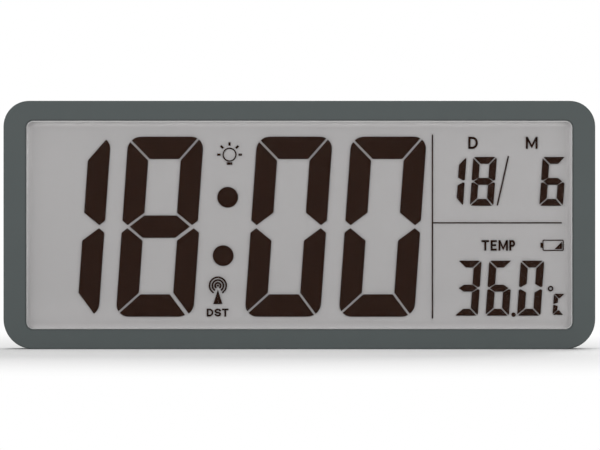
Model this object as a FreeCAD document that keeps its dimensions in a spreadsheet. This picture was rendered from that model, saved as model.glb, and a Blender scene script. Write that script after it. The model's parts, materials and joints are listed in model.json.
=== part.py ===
import FreeCAD, Part
import math
import os
import re
import Sketcher

# Jumbo digit thermometer clock, 370 x 155 x 30 mm. +X is to the right seen from the front,
# the display faces -Y, +Z is up, and the origin is at the middle of the base.

doc = FreeCAD.newDocument("thermometer_clock")
sheet = doc.addObject("Spreadsheet::Sheet", "Sizes")
Vector = FreeCAD.Vector
RIGHT, BACK, UP = Vector(1, 0, 0), Vector(0, 1, 0), Vector(0, 0, 1)

# Driving dimensions in millimetres

SIZES = {
    # Case
    "case_width": 370.0,
    "case_height": 155.3,
    "case_depth": 30.0,
    "case_corner": 16.0,
    "case_foot_corner": 18.8,
    "shell_wall": 2.2,
    "front_edge_round": 0.9,
    "rear_edge_round": 3.0,
    "seam_bevel": 0.3,
    "rear_cover_depth": 12.0,
    "lip_height": 2.5,
    "lip_play": 0.15,
    # Window
    "aperture_side": 14.2,
    "aperture_top": 12.4,
    "aperture_base": 12.5,
    "aperture_corner": 4.4,
    "window_play": 0.15,
    "window_set_back": 0.4,
    "window_bevel": 0.6,
    "window_flange": 3.0,
    "window_flange_thick": 1.0,
    "gasket_thick": 0.3,
    "gasket_width": 2.2,
    # Display stack
    "film_thick": 0.25,
    "glass_thick": 1.1,
    "cell_gap": 0.1,
    "glass_side_margin": 11.0,
    "glass_base": 6.5,
    "glass_top_margin": 9.3,
    "contact_ledge": 4.0,
    "seal_width": 1.4,
    "rear_film_thick": 0.3,
    "light_guide_thick": 3.0,
    "stack_play": 0.3,
    "holder_plate": 1.8,
    "holder_wall": 1.4,
    "holder_play": 0.3,
    "holder_notch": 1.2,
    # Digits, measured upright. Places and sizes on the display are shares of the opening: across
    # from its middle to its side, and up from its lower edge
    "time_digit_height_share": 0.8643,
    "time_digit_width_share": 0.1385,
    "time_stroke_flat": 14.0,
    "time_stroke_upright": 13.5,
    "time_digit_corner": 8.0,
    "time_segment_gap": 1.25,
    "hours_bar_apart": 1.2,
    "time_centre_height_share": 0.4916,
    "time_tens_x_share": -0.8519,
    "time_hours_x_share": -0.5117,
    "minute_tens_x_share": -0.0392,
    "minutes_x_share": 0.3056,
    "colon_radius": 6.5,
    "colon_high_x_share": -0.2626,
    "colon_high_z_share": 0.6327,
    "colon_low_x_share": -0.2793,
    "colon_low_z_share": 0.3524,
    "date_digit_height_share": 0.2347,
    "date_digit_width_share": 0.0433,
    "date_stroke": 4.35,
    "date_digit_corner": 1.7,
    "small_segment_gap": 0.75,
    "date_centre_height_share": 0.709,
    "day_tens_x_share": 0.5632,
    "day_units_x_share": 0.6745,
    "month_x_share": 0.9292,
    "warm_digit_height_share": 0.2646,
    "warm_digit_width_share": 0.043,
    "warm_stroke_flat": 4.35,
    "warm_stroke_upright": 4.7,
    "warm_centre_height_share": 0.1963,
    "warm_tens_x_share": 0.6183,
    "warm_units_x_share": 0.7324,
    "warm_tenths_x_share": 0.8478,
    "decimal_point_x_share": 0.7851,
    "decimal_point_z_share": 0.069,
    "decimal_point_radius": 1.4,
    # Lines and symbols
    "rule_width": 0.8,
    "rule_upright_x_share": 0.488,
    "rule_low_share": 0.0506,
    "rule_high_share": 0.934,
    "rule_flat_z_share": 0.51,
    "rule_flat_end_share": 0.9622,
    "slash_high_x_share": 0.7664,
    "slash_low_x_share": 0.7254,
    "slash_high_z_share": 0.8305,
    "slash_low_z_share": 0.5928,
    "slash_width": 0.95,
    "lamp_x_share": -0.2559,
    "lamp_z_share": 0.8374,
    "lamp_radius": 4.4,
    "lamp_line": 0.8,
    "lamp_base_width": 3.4,
    "lamp_base_height": 1.6,
    "lamp_ray_inner": 5.6,
    "lamp_ray_outer": 7.8,
    "lamp_ray_width": 1.35,
    "radio_x_share": -0.2986,
    "radio_z_share": 0.2086,
    "radio_ring_outer": 5.75,
    "radio_ring_step": 1.75,
    "radio_line": 1.05,
    "radio_dot_radius": 0.65,
    "mast_height": 9.2,
    "mast_width": 5.8,
    "mast_drop": 2.4,
    "charge_x_share": 0.9303,
    "charge_z_share": 0.4022,
    "charge_width": 13.3,
    "charge_height": 7.0,
    "charge_corner": 0.8,
    "charge_line": 0.65,
    "charge_tip_width": 1.3,
    "charge_tip_height": 3.2,
    "charge_wedge": 4.7,
    "charge_wedge_inset": 1.1,
    "degree_x_share": 0.921,
    "degree_z_share": 0.194,
    "degree_radius": 1.75,
    "degree_line": 0.95,
    "unit_x_share": 0.9514,
    "unit_z_share": 0.1189,
    "unit_width": 7.0,
    "unit_height": 13.2,
    "unit_stroke": 2.8,
    "unit_corner": 0.8,
    "unit_gap": 0.4,
    # Case screws and holder screws
    "screw_side_inset": 5.7,
    "screw_end_inset": 17.0,
    "boss_radius": 3.4,
    "boss_foot_radius": 4.0,
    "boss_gap": 0.3,
    "case_screw_radius": 1.25,
    "case_screw_grip": 9.0,
    "case_screw_head_radius": 2.8,
    "case_screw_head": 1.8,
    "case_screw_sink": 3.6,
    "screw_hole_play": 0.3,
    "pilot_play": 0.05,
    "small_screw_radius": 0.9,
    "small_screw_head_radius": 1.9,
    "small_screw_head": 1.3,
    "small_screw_grip": 3.2,
    "small_boss_radius": 2.2,
    "holder_screw_pitch": 110.0,
    "drive_slot": 0.6,
    # Lamp strip
    "strip_thick": 1.0,
    "strip_length": 118.0,
    "led_depth": 1.4,
    "led_length": 3.5,
    "led_count": 6,
    # Boards
    "main_left_margin": 24.0,
    "main_right_gap": 2.2,
    "main_base": 5.4,
    "main_top": 64.5,
    "main_lift": 0.95,
    "board_thick": 1.6,
    "board_screw_inset": 4.0,
    "zebra_width": 3.0,
    "zebra_gap": 4.0,
    "zebra_end": 6.0,
    "blob_radius": 9.0,
    "blob_height": 1.8,
    "blob_inset": 55.0,
    "blob_rise": 20.6,
    "key_switch_side": 6.0,
    "key_switch_height": 2.4,
    "key_plunger_radius": 1.7,
    "key_plunger_height": 1.2,
    "crystal_radius": 1.5,
    "crystal_length": 8.0,
    "capacitor_radius": 2.0,
    "capacitor_length": 7.0,
    "resistor_length": 3.2,
    "resistor_width": 1.6,
    "resistor_height": 0.6,
    "receiver_inset": 74.0,
    "receiver_width": 34.0,
    "receiver_drop": 59.3,
    "receiver_height": 22.0,
    # Radio antenna, buzzer and sensor
    "ferrite_radius": 4.5,
    "ferrite_length": 90.0,
    "ferrite_inset": 66.0,
    "ferrite_y": 5.6,
    "ferrite_drop": 18.3,
    "coil_wall": 1.8,
    "coil_length": 32.0,
    "antenna_holder_length": 6.0,
    "antenna_holder_wall": 1.8,
    "antenna_holder_inset": 9.0,
    "buzzer_inset": 64.0,
    "buzzer_z": 50.0,
    "buzzer_radius": 13.5,
    "buzzer_plate": 0.4,
    "buzzer_ceramic_radius": 9.0,
    "buzzer_ceramic": 0.3,
    "buzzer_stand_off": 2.2,
    "buzzer_wall": 1.6,
    "buzzer_hole_radius": 1.0,
    "buzzer_hole_ring": 5.0,
    "vent_inset": 20.0,
    "vent_drop": 55.3,
    "vent_width": 1.6,
    "vent_height": 20.0,
    "vent_pitch": 4.2,
    "sensor_radius": 1.6,
    "sensor_lead_radius": 0.3,
    "sensor_lead_pitch": 2.0,
    # Battery bay, door and cells
    "bay_drop": 51.3,
    "spring_gap": 7.2,
    "bay_height": 45.3,
    "bay_wall": 1.6,
    "bay_floor": 1.2,
    "bay_depth": 17.0,
    "cell_radius": 7.25,
    "cell_length": 49.2,
    "cell_nub_radius": 2.7,
    "cell_nub": 1.3,
    "cell_pitch": 15.0,
    "cell_play": 0.2,
    "contact_thick": 0.4,
    "spring_radius": 3.6,
    "spring_wire": 0.45,
    "plate_width": 9.0,
    "door_overlap": 4.0,
    "door_thick": 1.8,
    "door_play": 0.25,
    "door_pin_radius": 0.65,
    "door_pin_length": 2.0,
    "door_pin_play": 0.08,
    "latch_width": 12.0,
    "latch_thick": 1.2,
    "latch_reach": 2.6,
    "latch_play": 0.35,
    "grip_width": 1.2,
    "grip_depth": 0.5,
    # Table stand
    "stand_width": 70.0,
    "stand_top_gap": 13.15,
    "stand_thick": 2.6,
    "stand_inset": 0.4,
    "stand_side_play": 1.0,
    "stand_end_play": 1.6,
    "stand_back_play": 0.4,
    "stand_corner": 5.0,
    "stand_pin_radius": 1.25,
    "stand_pin_length": 80.0,
    "stand_pin_play": 0.05,
    "stand_pin_z": 3.2,
    "stand_rib_height": 1.2,
    "scoop_radius": 9.0,
    "scoop_drop": 1.0,
    "ear_thick": 5.0,
    "pad_length": 8.0,
    "pad_thick": 1.2,
    "pad_proud": 0.2,
    # Keys
    "rear_key_inset": 15.0,
    "rear_key_z": 45.0,
    "rear_key_radius": 4.2,
    "key_hole_play": 0.3,
    "key_flange": 1.2,
    "key_flange_thick": 1.0,
    "key_flange_play": 0.2,
    "key_stem_radius": 1.7,
    "key_press_gap": 0.9,
    "key_sink": 0.35,
    "reset_margin": 10.4,
    "reset_radius": 1.4,
    "reset_sink": 0.9,
    "light_key_width": 50.0,
    "light_key_depth": 6.4,
    "light_key_y": 8.2,
    "light_key_sink": 0.1,
    "light_board_drop": 14.3,
    "light_board_width": 34.0,
    "light_board_depth": 7.4,
    # Wall hanging
    "keyhole_spacing": 200.0,
    "keyhole_drop": 43.3,
    "keyhole_entry_radius": 4.5,
    "keyhole_slot_radius": 2.1,
    "keyhole_rise": 9.0,
    "keyhole_depth": 5.0,
    "overcut": 1.0,
}

# Places worked out from the sizes, used by more than one piece

PLACES = {
    "front_y": "-case_depth / 2",
    "rear_y": "case_depth / 2",
    "front_inside": "front_y + shell_wall",
    "rear_inside": "rear_y - shell_wall",
    "parting_y": "rear_y - rear_cover_depth",
    "aperture_right": "case_width / 2 - aperture_side",
    "aperture_low": "aperture_base",
    "aperture_high": "case_height - aperture_top",
    "aperture_tall": "aperture_high - aperture_low",
    "time_tens_x": "aperture_right * time_tens_x_share",
    "time_hours_x": "aperture_right * time_hours_x_share",
    "minute_tens_x": "aperture_right * minute_tens_x_share",
    "minutes_x": "aperture_right * minutes_x_share",
    "colon_high_x": "aperture_right * colon_high_x_share",
    "colon_low_x": "aperture_right * colon_low_x_share",
    "day_tens_x": "aperture_right * day_tens_x_share",
    "day_units_x": "aperture_right * day_units_x_share",
    "month_x": "aperture_right * month_x_share",
    "warm_tens_x": "aperture_right * warm_tens_x_share",
    "warm_units_x": "aperture_right * warm_units_x_share",
    "warm_tenths_x": "aperture_right * warm_tenths_x_share",
    "decimal_point_x": "aperture_right * decimal_point_x_share",
    "rule_upright_x": "aperture_right * rule_upright_x_share",
    "rule_flat_end": "aperture_right * rule_flat_end_share",
    "slash_high_x": "aperture_right * slash_high_x_share",
    "slash_low_x": "aperture_right * slash_low_x_share",
    "lamp_x": "aperture_right * lamp_x_share",
    "radio_x": "aperture_right * radio_x_share",
    "charge_x": "aperture_right * charge_x_share",
    "degree_x": "aperture_right * degree_x_share",
    "unit_x": "aperture_right * unit_x_share",
    "time_centre_height": "aperture_low + aperture_tall * time_centre_height_share",
    "colon_high_z": "aperture_low + aperture_tall * colon_high_z_share",
    "colon_low_z": "aperture_low + aperture_tall * colon_low_z_share",
    "date_centre_height": "aperture_low + aperture_tall * date_centre_height_share",
    "warm_centre_height": "aperture_low + aperture_tall * warm_centre_height_share",
    "decimal_point_z": "aperture_low + aperture_tall * decimal_point_z_share",
    "rule_low": "aperture_low + aperture_tall * rule_low_share",
    "rule_high": "aperture_low + aperture_tall * rule_high_share",
    "rule_flat_z": "aperture_low + aperture_tall * rule_flat_z_share",
    "slash_high_z": "aperture_low + aperture_tall * slash_high_z_share",
    "slash_low_z": "aperture_low + aperture_tall * slash_low_z_share",
    "lamp_z": "aperture_low + aperture_tall * lamp_z_share",
    "radio_z": "aperture_low + aperture_tall * radio_z_share",
    "charge_z": "aperture_low + aperture_tall * charge_z_share",
    "degree_z": "aperture_low + aperture_tall * degree_z_share",
    "unit_z": "aperture_low + aperture_tall * unit_z_share",
    "time_digit_width": "aperture_right * 2 * time_digit_width_share",
    "date_digit_width": "aperture_right * 2 * date_digit_width_share",
    "warm_digit_width": "aperture_right * 2 * warm_digit_width_share",
    "time_digit_height": "aperture_tall * time_digit_height_share",
    "date_digit_height": "aperture_tall * date_digit_height_share",
    "warm_digit_height": "aperture_tall * warm_digit_height_share",
    "flange_rear": "front_inside + window_flange_thick",
    "gasket_rear": "flange_rear + gasket_thick",
    "front_glass_y": "gasket_rear + film_thick",
    "liquid_front": "front_glass_y + glass_thick",
    "liquid_rear": "liquid_front + cell_gap",
    "rear_glass_rear": "liquid_rear + glass_thick",
    "guide_front": "rear_glass_rear + rear_film_thick",
    "guide_rear": "guide_front + light_guide_thick",
    "holder_front": "guide_rear + rear_film_thick",
    "holder_rear": "holder_front + holder_plate",
    "glass_right": "case_width / 2 - glass_side_margin",
    "rear_glass_base": "glass_base + contact_ledge",
    "holder_right": "glass_right + holder_play + holder_wall",
    "holder_base": "glass_base - holder_play - holder_wall",
    "holder_top": "glass_top + holder_play + holder_wall",
    "board_front": "holder_rear + main_lift",
    "board_rear": "board_front + board_thick",
    "switch_top": "board_rear + key_switch_height + key_plunger_height",
    "screw_x": "case_width / 2 - screw_side_inset",
    "front_boss_end": "parting_y - lip_height - lip_play",
    "rear_boss_end": "front_boss_end + boss_gap",
    "head_seat": "rear_y - case_screw_sink",
    "bay_floor_y": "rear_y - bay_depth",
    "cell_y": "bay_floor_y + cell_play + cell_radius",
    "bay_width": "cell_length + cell_nub + contact_thick * 2 + spring_gap",
    "door_right": "bay_width / 2 + door_overlap",
    "door_low": "bay_z - bay_height / 2 - door_overlap",
    "door_high": "bay_z + bay_height / 2 + door_overlap",
    "door_front": "rear_y - door_thick",
    "door_pin_y": "rear_y - door_thick / 2",
    "door_pin_z": "door_low + door_play + door_thick / 2",
    "stand_rear": "rear_y - stand_inset",
    "stand_pin_y": "stand_rear - stand_barrel",
    "stand_barrel": "stand_pin_z - pad_proud",
    "stand_front": "stand_rear - stand_thick",
    "stand_top": "stand_pin_z + stand_length",
    "recess_right": "stand_width / 2 + stand_side_play",
    "recess_top": "stand_top + stand_end_play",
    "recess_floor": "stand_front - stand_rib_height - stand_back_play",
    "barrel_floor": "stand_pin_y - stand_barrel - stand_back_play",
    "key_face": "rear_y - key_sink",
    "key_flange_rear": "rear_inside - key_flange_play",
    "light_board_top": "light_board_z + board_thick",
    "light_switch_top": "light_board_top + key_switch_height + key_plunger_height",
    "top_inside": "case_height - shell_wall",
    "glass_top": "case_height - glass_top_margin",
    "main_left": "-glass_right + main_left_margin",
    "main_right": "-bay_width / 2 - bay_wall - main_right_gap",
    "blob_x": "main_left + blob_inset",
    "blob_z": "main_base + blob_rise",
    "receiver_left": "glass_right - receiver_inset",
    "receiver_base": "case_height - receiver_drop",
    "ferrite_x": "glass_right - ferrite_inset",
    "ferrite_z": "case_height - ferrite_drop",
    "buzzer_x": "glass_right - buzzer_inset",
    "vent_x": "main_left + vent_inset",
    "vent_z": "case_height - vent_drop",
    "bay_z": "case_height - bay_drop",
    "stand_length": "door_low - stand_top_gap - stand_pin_z",
    "rear_key_left": "main_left + rear_key_inset",
    "reset_x": "-(recess_right + bay_wall + reset_margin)",
    "rear_key_pitch": "(reset_x - rear_key_left) / 5",
    "light_board_z": "case_height - light_board_drop",
    "keyhole_z": "case_height - keyhole_drop",
    "holder_screw_low": "(screw_end_inset + case_height / 2) / 2",
    "holder_screw_high": "case_height - holder_screw_low",
}


def full(text):
    """The expression with each place opened out and each size read from the sheet."""

    def swap(found):
        name = found.group(0)
        if name in PLACES:
            return "(" + full(PLACES[name]) + ")"
        return "Sizes." + name if name in SIZES else name

    return re.sub(r"[A-Za-z_]+", swap, str(text))


def size(text):
    """The number that an expression of sizes and places comes to."""
    return float(sheet.evalExpression(full(text)))


def bind(item, prop, text):
    """Ties one property of an object to an expression of sizes."""
    item.setExpression(prop, full(text))


for row, (alias, number) in enumerate(SIZES.items(), 1):
    sheet.set(f"A{row}", alias.replace("_", " "))
    sheet.set(f"B{row}", str(number))
    sheet.setAlias(f"B{row}", alias)
doc.recompute()

nodes = []


def keep(item, label):
    """Names a finished sub-part."""
    item.Label = label
    nodes.append(item)
    return item


# Helpers for sketched bodies


def plane_of(body, role):
    """The origin plane of a body that has the given role."""
    return next(item for item in body.Origin.OriginFeatures if item.Role == role)


def draw_box(sketch, left, low, right, high, corner, foot=None):
    """A rectangle with rounded or sharp corners, each side tied to its expression.

    The two lower corners take their own radius where one is given.
    """
    x0, z0, x1, z1, r = (size(text) for text in (left, low, right, high, corner))
    rounds = (size(foot or corner), r, r, size(foot or corner))
    first = sketch.GeometryCount
    points = [(x0, z0), (x1, z0), (x1, z1), (x0, z1)]
    steps = [(1, 0), (0, 1), (-1, 0), (0, -1)]
    edges = []
    for turn, ((x, z), (dx, dz)) in enumerate(zip(points, steps)):
        end_x, end_z = points[(turn + 1) % 4]
        before, after = rounds[turn - 1], rounds[turn]
        start = Vector(x + dx * before, z + dz * before, 0)
        end = Vector(end_x - dx * after, end_z - dz * after, 0)
        edges.append(Part.LineSegment(start, end))
        if r > 0:
            next_dx, next_dz = steps[(turn + 1) % 4]
            centre = Vector(end_x + (next_dx - dx) * after, end_z + (next_dz - dz) * after, 0)
            start_angle = math.atan2(-next_dz, -next_dx)
            circle = Part.Circle(centre, UP, after)
            edges.append(Part.ArcOfCircle(circle, start_angle, start_angle + math.pi / 2))
    sketch.addGeometry(edges, False)
    count = len(edges)
    side = count // 4
    ties = []
    for turn in range(count):
        kind = "Tangent" if r > 0 else "Coincident"
        ties.append(Sketcher.Constraint(kind, first + turn, 2, first + (turn + 1) % count, 1))
    for turn, kind in enumerate(("Horizontal", "Vertical", "Horizontal", "Vertical")):
        ties.append(Sketcher.Constraint(kind, first + turn * side))
    if r > 0:
        pairs = ((0, 3), (1, 2)) if foot else ((0, 1), (0, 2), (0, 3))
        for one, other in pairs:
            ties.append(Sketcher.Constraint("Equal", first + one * side + 1, first + other * side + 1))
    sketch.addConstraint(ties)
    measures = [("DistanceY", 0, low, z0), ("DistanceX", 1, right, x1)]
    measures += [("DistanceY", 2, high, z1), ("DistanceX", 3, left, x0)]
    for kind, turn, text, number in measures:
        edge = first + turn * side
        tie = sketch.addConstraint(Sketcher.Constraint(kind, -1, 1, edge, 1, number))
        bind(sketch, f"Constraints[{tie}]", text)
    radii = [(1, corner), (0, foot)] if foot else [(0, corner)]
    for turn, text in radii if r > 0 else []:
        arc = first + turn * side + 1
        tie = sketch.addConstraint(Sketcher.Constraint("Radius", arc, size(text)))
        bind(sketch, f"Constraints[{tie}]", text)


def draw_circle(sketch, x, z, radius):
    """A circle with its centre and radius tied to their expressions."""
    centre = Vector(size(x), size(z), 0)
    edge = sketch.addGeometry(Part.Circle(centre, UP, size(radius)), False)
    tie = sketch.addConstraint(Sketcher.Constraint("Radius", edge, size(radius)))
    bind(sketch, f"Constraints[{tie}]", radius)
    for kind, text in (("DistanceX", x), ("DistanceY", z)):
        tie = sketch.addConstraint(Sketcher.Constraint(kind, -1, 1, edge, 3, size(text)))
        bind(sketch, f"Constraints[{tie}]", text)


def draw(body, name, at, outlines, role="XZ_Plane"):
    """A sketch square to Y, or flat, at a height given by an expression."""
    sketch = body.newObject("Sketcher::SketchObject", name)
    sketch.AttachmentSupport = [(plane_of(body, role), "")]
    sketch.MapMode = "FlatFace"
    bind(sketch, "AttachmentOffset.Base.z", f"-({at})" if role == "XZ_Plane" else at)
    for outline in outlines:
        if len(outline) == 3:
            draw_circle(sketch, *outline)
        else:
            draw_box(sketch, *outline)
    return sketch


def add_material(body, name, start, end, outlines, role="XZ_Plane"):
    """A pad from start to end, both expressions along Y, or along Z for a flat sketch."""
    pad = body.newObject("PartDesign::Pad", name)
    pad.Profile = draw(body, name + "_sketch", start, outlines, role)
    pad.Reversed = (size(end) > size(start)) == (role == "XZ_Plane")
    bind(pad, "Length", f"abs(({end}) - ({start}))")
    doc.recompute()
    return pad


def cut_material(body, name, start, end, outlines, role="XZ_Plane"):
    """A pocket from start to end, which has to take something away."""
    before = body.Shape.Volume
    pocket = body.newObject("PartDesign::Pocket", name)
    pocket.Profile = draw(body, name + "_sketch", start, outlines, role)
    pocket.Reversed = (size(end) < size(start)) == (role == "XZ_Plane")
    bind(pocket, "Length", f"abs(({end}) - ({start}))")
    doc.recompute()
    if not body.Shape.Volume < before:
        raise RuntimeError(name + " takes nothing away")
    return pocket


def round_edges(body, name, base, radius, chosen, kind="Fillet"):
    """A fillet or chamfer on the edges of base that chosen picks."""
    names = [f"Edge{i}" for i, edge in enumerate(base.Shape.Edges, 1) if chosen(edge.BoundBox)]
    feature = body.newObject("PartDesign::" + kind, name)
    feature.Base = (base, names)
    bind(feature, "Radius" if kind == "Fillet" else "Size", radius)
    doc.recompute()
    return feature


def at_y(text):
    """Picks edges that lie in one plane square to Y."""
    level = size(text)
    close = size("cell_gap") / 2
    return lambda box: abs(box.YMin - level) < close and abs(box.YMax - level) < close


# Helpers for plain solids and groups


def block(x, y, z, name="block"):
    """A box between pairs of expressions along each axis."""
    item = doc.addObject("Part::Box", name)
    for prop, pair in (("Length", x), ("Width", y), ("Height", z)):
        bind(item, prop, f"({pair[1]}) - ({pair[0]})")
    for axis, pair in (("x", x), ("y", y), ("z", z)):
        bind(item, "Placement.Base." + axis, pair[0])
    return item


def rod(axis, x, y, z, radius, length, name="rod", kind="Part::Cylinder"):
    """A cylinder or cone that starts at a point and runs along an axis, + or -."""
    item = doc.addObject(kind, name)
    if kind == "Part::Cone":
        bind(item, "Radius1", radius[0])
        bind(item, "Radius2", radius[1])
    else:
        bind(item, "Radius", radius)
    bind(item, "Height", length)
    item.Placement.Rotation = FreeCAD.Rotation(UP, axis)
    for letter, text in (("x", x), ("y", y), ("z", z)):
        bind(item, "Placement.Base." + letter, text)
    return item


def join(items, name="join"):
    """One solid fused from several."""
    item = doc.addObject("Part::MultiFuse", name)
    item.Shapes = items
    return item


def less(base, tools, name="cut"):
    """A solid with others taken out of it."""
    item = doc.addObject("Part::Cut", name)
    item.Base = base
    item.Tool = tools[0] if len(tools) == 1 else join(tools)
    return item


def group(label, items):
    """Separate solids of one kind kept as one sub-part."""
    item = doc.addObject("Part::Compound", label)
    item.Links = items
    return keep(item, label)


def ringed(label, y, outer, inner):
    """A flat frame between two rounded outlines, standing square to Y."""
    body = doc.addObject("PartDesign::Body", label)
    add_material(body, label + "_frame", y[0], y[1], [outer, inner])
    return keep(body, label)


def aperture(grow, corner="aperture_corner"):
    """The outline of the bezel's opening, larger by an expression all round."""
    grown = f"max({corner} + ({grow}); 0)"
    low, high = f"aperture_low - ({grow})", f"aperture_high + ({grow})"
    return (f"-aperture_right - ({grow})", low, f"aperture_right + ({grow})", high, grown)


def case_outline(inset):
    """The outline of the case, smaller by an expression all round."""
    right = f"case_width / 2 - ({inset})"
    corners = (f"case_corner - ({inset})", f"case_foot_corner - ({inset})")
    return (f"-({right})", inset, right, f"case_height - ({inset})", *corners)


# Case screws and holder screws, shared places

CASE_SCREWS = [
    (side + "screw_x", level)
    for side in ("-", "")
    for level in ("screw_end_inset", "case_height / 2", "case_height - screw_end_inset")
]
HOLDER_SCREWS = [
    (f"{step} * holder_screw_pitch", "holder_top + small_boss_radius + holder_play")
    for step in (-1, 0, 1)
] + [(side + "screw_x", level) for side in ("-", "") for level in ("holder_screw_low", "holder_screw_high")]
BOARD_SCREWS = [
    (x, z)
    for x in ("main_left + board_screw_inset", "main_right - board_screw_inset")
    for z in ("main_base + board_screw_inset * 2", "main_top - board_screw_inset")
]
RECEIVER_SCREWS = [
    ("receiver_left + board_screw_inset", "receiver_base + board_screw_inset"),
    (
        "receiver_left + receiver_width - board_screw_inset",
        "receiver_base + receiver_height - board_screw_inset",
    ),
]


def around(places, radius):
    """Circles of one radius at a list of places."""
    return [(x, z, radius) for x, z in places]


def front_shell():
    """The moulded bezel with its side walls, screw bosses and the rabbet for the rear cover."""
    body = doc.addObject("PartDesign::Body", "front_shell")
    shell = add_material(body, "shell_block", "front_y", "parting_y", [case_outline("0")])
    shell = round_edges(body, "front_round", shell, "front_edge_round", at_y("front_y"))
    round_edges(body, "seam_bevel", shell, "seam_bevel", at_y("parting_y"), "Chamfer")
    cut_material(body, "inside", "parting_y", "front_inside", [case_outline("shell_wall")])
    rabbet = [case_outline("shell_wall / 2")]
    cut_material(body, "rabbet", "parting_y", "front_boss_end", rabbet)
    cut_material(body, "opening", "front_y", "front_inside", [aperture("0")])
    bosses = around(CASE_SCREWS, "boss_radius")
    add_material(body, "screw_bosses", "front_inside", "front_boss_end", bosses)
    small = around(HOLDER_SCREWS, "small_boss_radius")
    add_material(body, "holder_bosses", "front_inside", "holder_front", small)
    pilots = around(CASE_SCREWS, "case_screw_radius + pilot_play")
    cut_material(body, "screw_pilots", "front_boss_end", "front_boss_end - case_screw_grip", pilots)
    pilots = around(HOLDER_SCREWS, "small_screw_radius + pilot_play")
    grip = "holder_front - small_screw_grip - pilot_play"
    cut_material(body, "holder_pilots", "holder_front", grip, pilots)
    return keep(body, "front_shell")


def across(x, z, radius, near, far, name="rod"):
    """A cylinder along Y from near to far."""
    return rod(BACK, x, near, z, radius, f"({far}) - ({near})", name)


def across_all(places, radius, near, far):
    """Cylinders along Y at a list of places."""
    return [across(x, z, radius, near, far) for x, z in places]


def slab(outline, near, far, name="block"):
    """A box along Y whose outline is left, low, right, high."""
    left, low, right, high = outline[:4]
    return block((left, right), (near, far), (low, high), name)


def stand_recess_box(grow, top):
    """The outline of the stand's recess, larger by an expression at its sides."""
    right = f"recess_right + ({grow})"
    return (f"-({right})", "0", right, top)


def bay_outline(grow):
    """The outline of the battery bay, larger by an expression all round."""
    right = f"bay_width / 2 + ({grow})"
    half = f"(bay_height / 2 + ({grow}))"
    return (f"-({right})", f"bay_z - {half}", right, f"bay_z + {half}")


def keyhole_outline(x, z, grow):
    """The outline of the room behind a keyhole, larger by an expression all round."""
    reach = f"(keyhole_entry_radius + keyhole_slot_radius + {grow})"
    top = f"{z} + keyhole_rise + keyhole_slot_radius * 2 + {grow}"
    return (f"{x} - {reach}", f"{z} - {reach}", f"{x} + {reach}", top)


REAR_KEYS = [(f"rear_key_left + {step} * rear_key_pitch", "rear_key_z") for step in range(5)]
KEY_NAMES = ["set_button", "up_button", "down_button", "alarm_button", "wave_button"]
KEYHOLES = [("-keyhole_spacing / 2", "keyhole_z"), ("keyhole_spacing / 2", "keyhole_z")]
VENTS = [f"vent_x + {step} * vent_pitch" for step in (-2, -1, 0, 1, 2)]
BUZZER_HOLES = [("buzzer_x", "buzzer_z")] + [
    (
        f"buzzer_x + buzzer_hole_ring * cos({60 * turn} deg)",
        f"buzzer_z + buzzer_hole_ring * sin({60 * turn} deg)",
    )
    for turn in range(6)
]
BARREL_ROOM_TOP = "stand_pin_z + stand_barrel + stand_back_play"
KEYHOLE_ROOM = "rear_inside - keyhole_depth"


def cover_form():
    """The bare tray of the rear cover with its rounded back edge and its lip."""
    body = doc.addObject("PartDesign::Body", "cover_form")
    cover = add_material(body, "cover_block", "rear_y", "parting_y", [case_outline("0")])
    cover = round_edges(body, "rear_round", cover, "rear_edge_round", at_y("rear_y"))
    round_edges(body, "cover_seam_bevel", cover, "seam_bevel", at_y("parting_y"), "Chamfer")
    cut_material(body, "cover_inside", "parting_y", "rear_inside", [case_outline("shell_wall")])
    lip = [case_outline("shell_wall / 2 + lip_play"), case_outline("shell_wall")]
    add_material(body, "lip", "parting_y + shell_wall", "parting_y - lip_height", lip)
    return body


def cover_walls():
    """What stands up inside the rear cover: posts, bay, recess, ears and seats."""
    inside = "rear_inside"
    recess = stand_recess_box("bay_wall", "recess_top + bay_wall")
    barrel = stand_recess_box("bay_wall", BARREL_ROOM_TOP + " + bay_wall")
    ears = stand_recess_box("ear_thick", "stand_pin_z * 2 + stand_barrel")
    walls = across_all(CASE_SCREWS, "boss_radius", "rear_boss_end", inside)
    walls += across_all(CASE_SCREWS, "boss_foot_radius", "parting_y + lip_height", inside)
    walls.append(slab(bay_outline("bay_wall"), "bay_floor_y - bay_floor", inside, "bay_block"))
    frame = bay_outline("door_overlap + bay_wall")
    walls.append(slab(frame, "door_front - bay_wall", inside, "door_frame"))
    walls.append(slab(recess, "recess_floor - bay_wall", inside, "recess_block"))
    walls.append(slab(barrel, "barrel_floor - bay_wall", inside, "barrel_block"))
    walls.append(slab(ears, "barrel_floor", "stand_pin_y", "pin_ears"))
    walls.append(slab(ears, "stand_pin_y", inside, "pin_ear_backs"))
    scoop_z = "recess_top - scoop_drop"
    scoop_wall = "recess_floor - bay_wall"
    walls.append(across("0", scoop_z, "scoop_radius + bay_wall", scoop_wall, inside))
    ring_near = "rear_inside - buzzer_stand_off"
    ring = across("buzzer_x", "buzzer_z", "buzzer_radius + holder_play", ring_near, inside)
    bore = across("buzzer_x", "buzzer_z", "buzzer_radius - buzzer_wall", ring_near, inside)
    walls.append(less(ring, [bore], "buzzer_seat"))
    for x, z in KEYHOLES:
        walls.append(slab(keyhole_outline(x, z, "bay_wall"), KEYHOLE_ROOM + " - bay_wall", inside))
    shelf_x = "light_board_width / 2 - bay_wall * 2"
    for left in (f"-({shelf_x}) - bay_wall", shelf_x):
        shelf = (left, "light_board_z - bay_wall", left + " + bay_wall", "light_board_z")
        walls.append(slab(shelf, "light_key_y - light_board_depth / 2", inside))
    return walls


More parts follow.
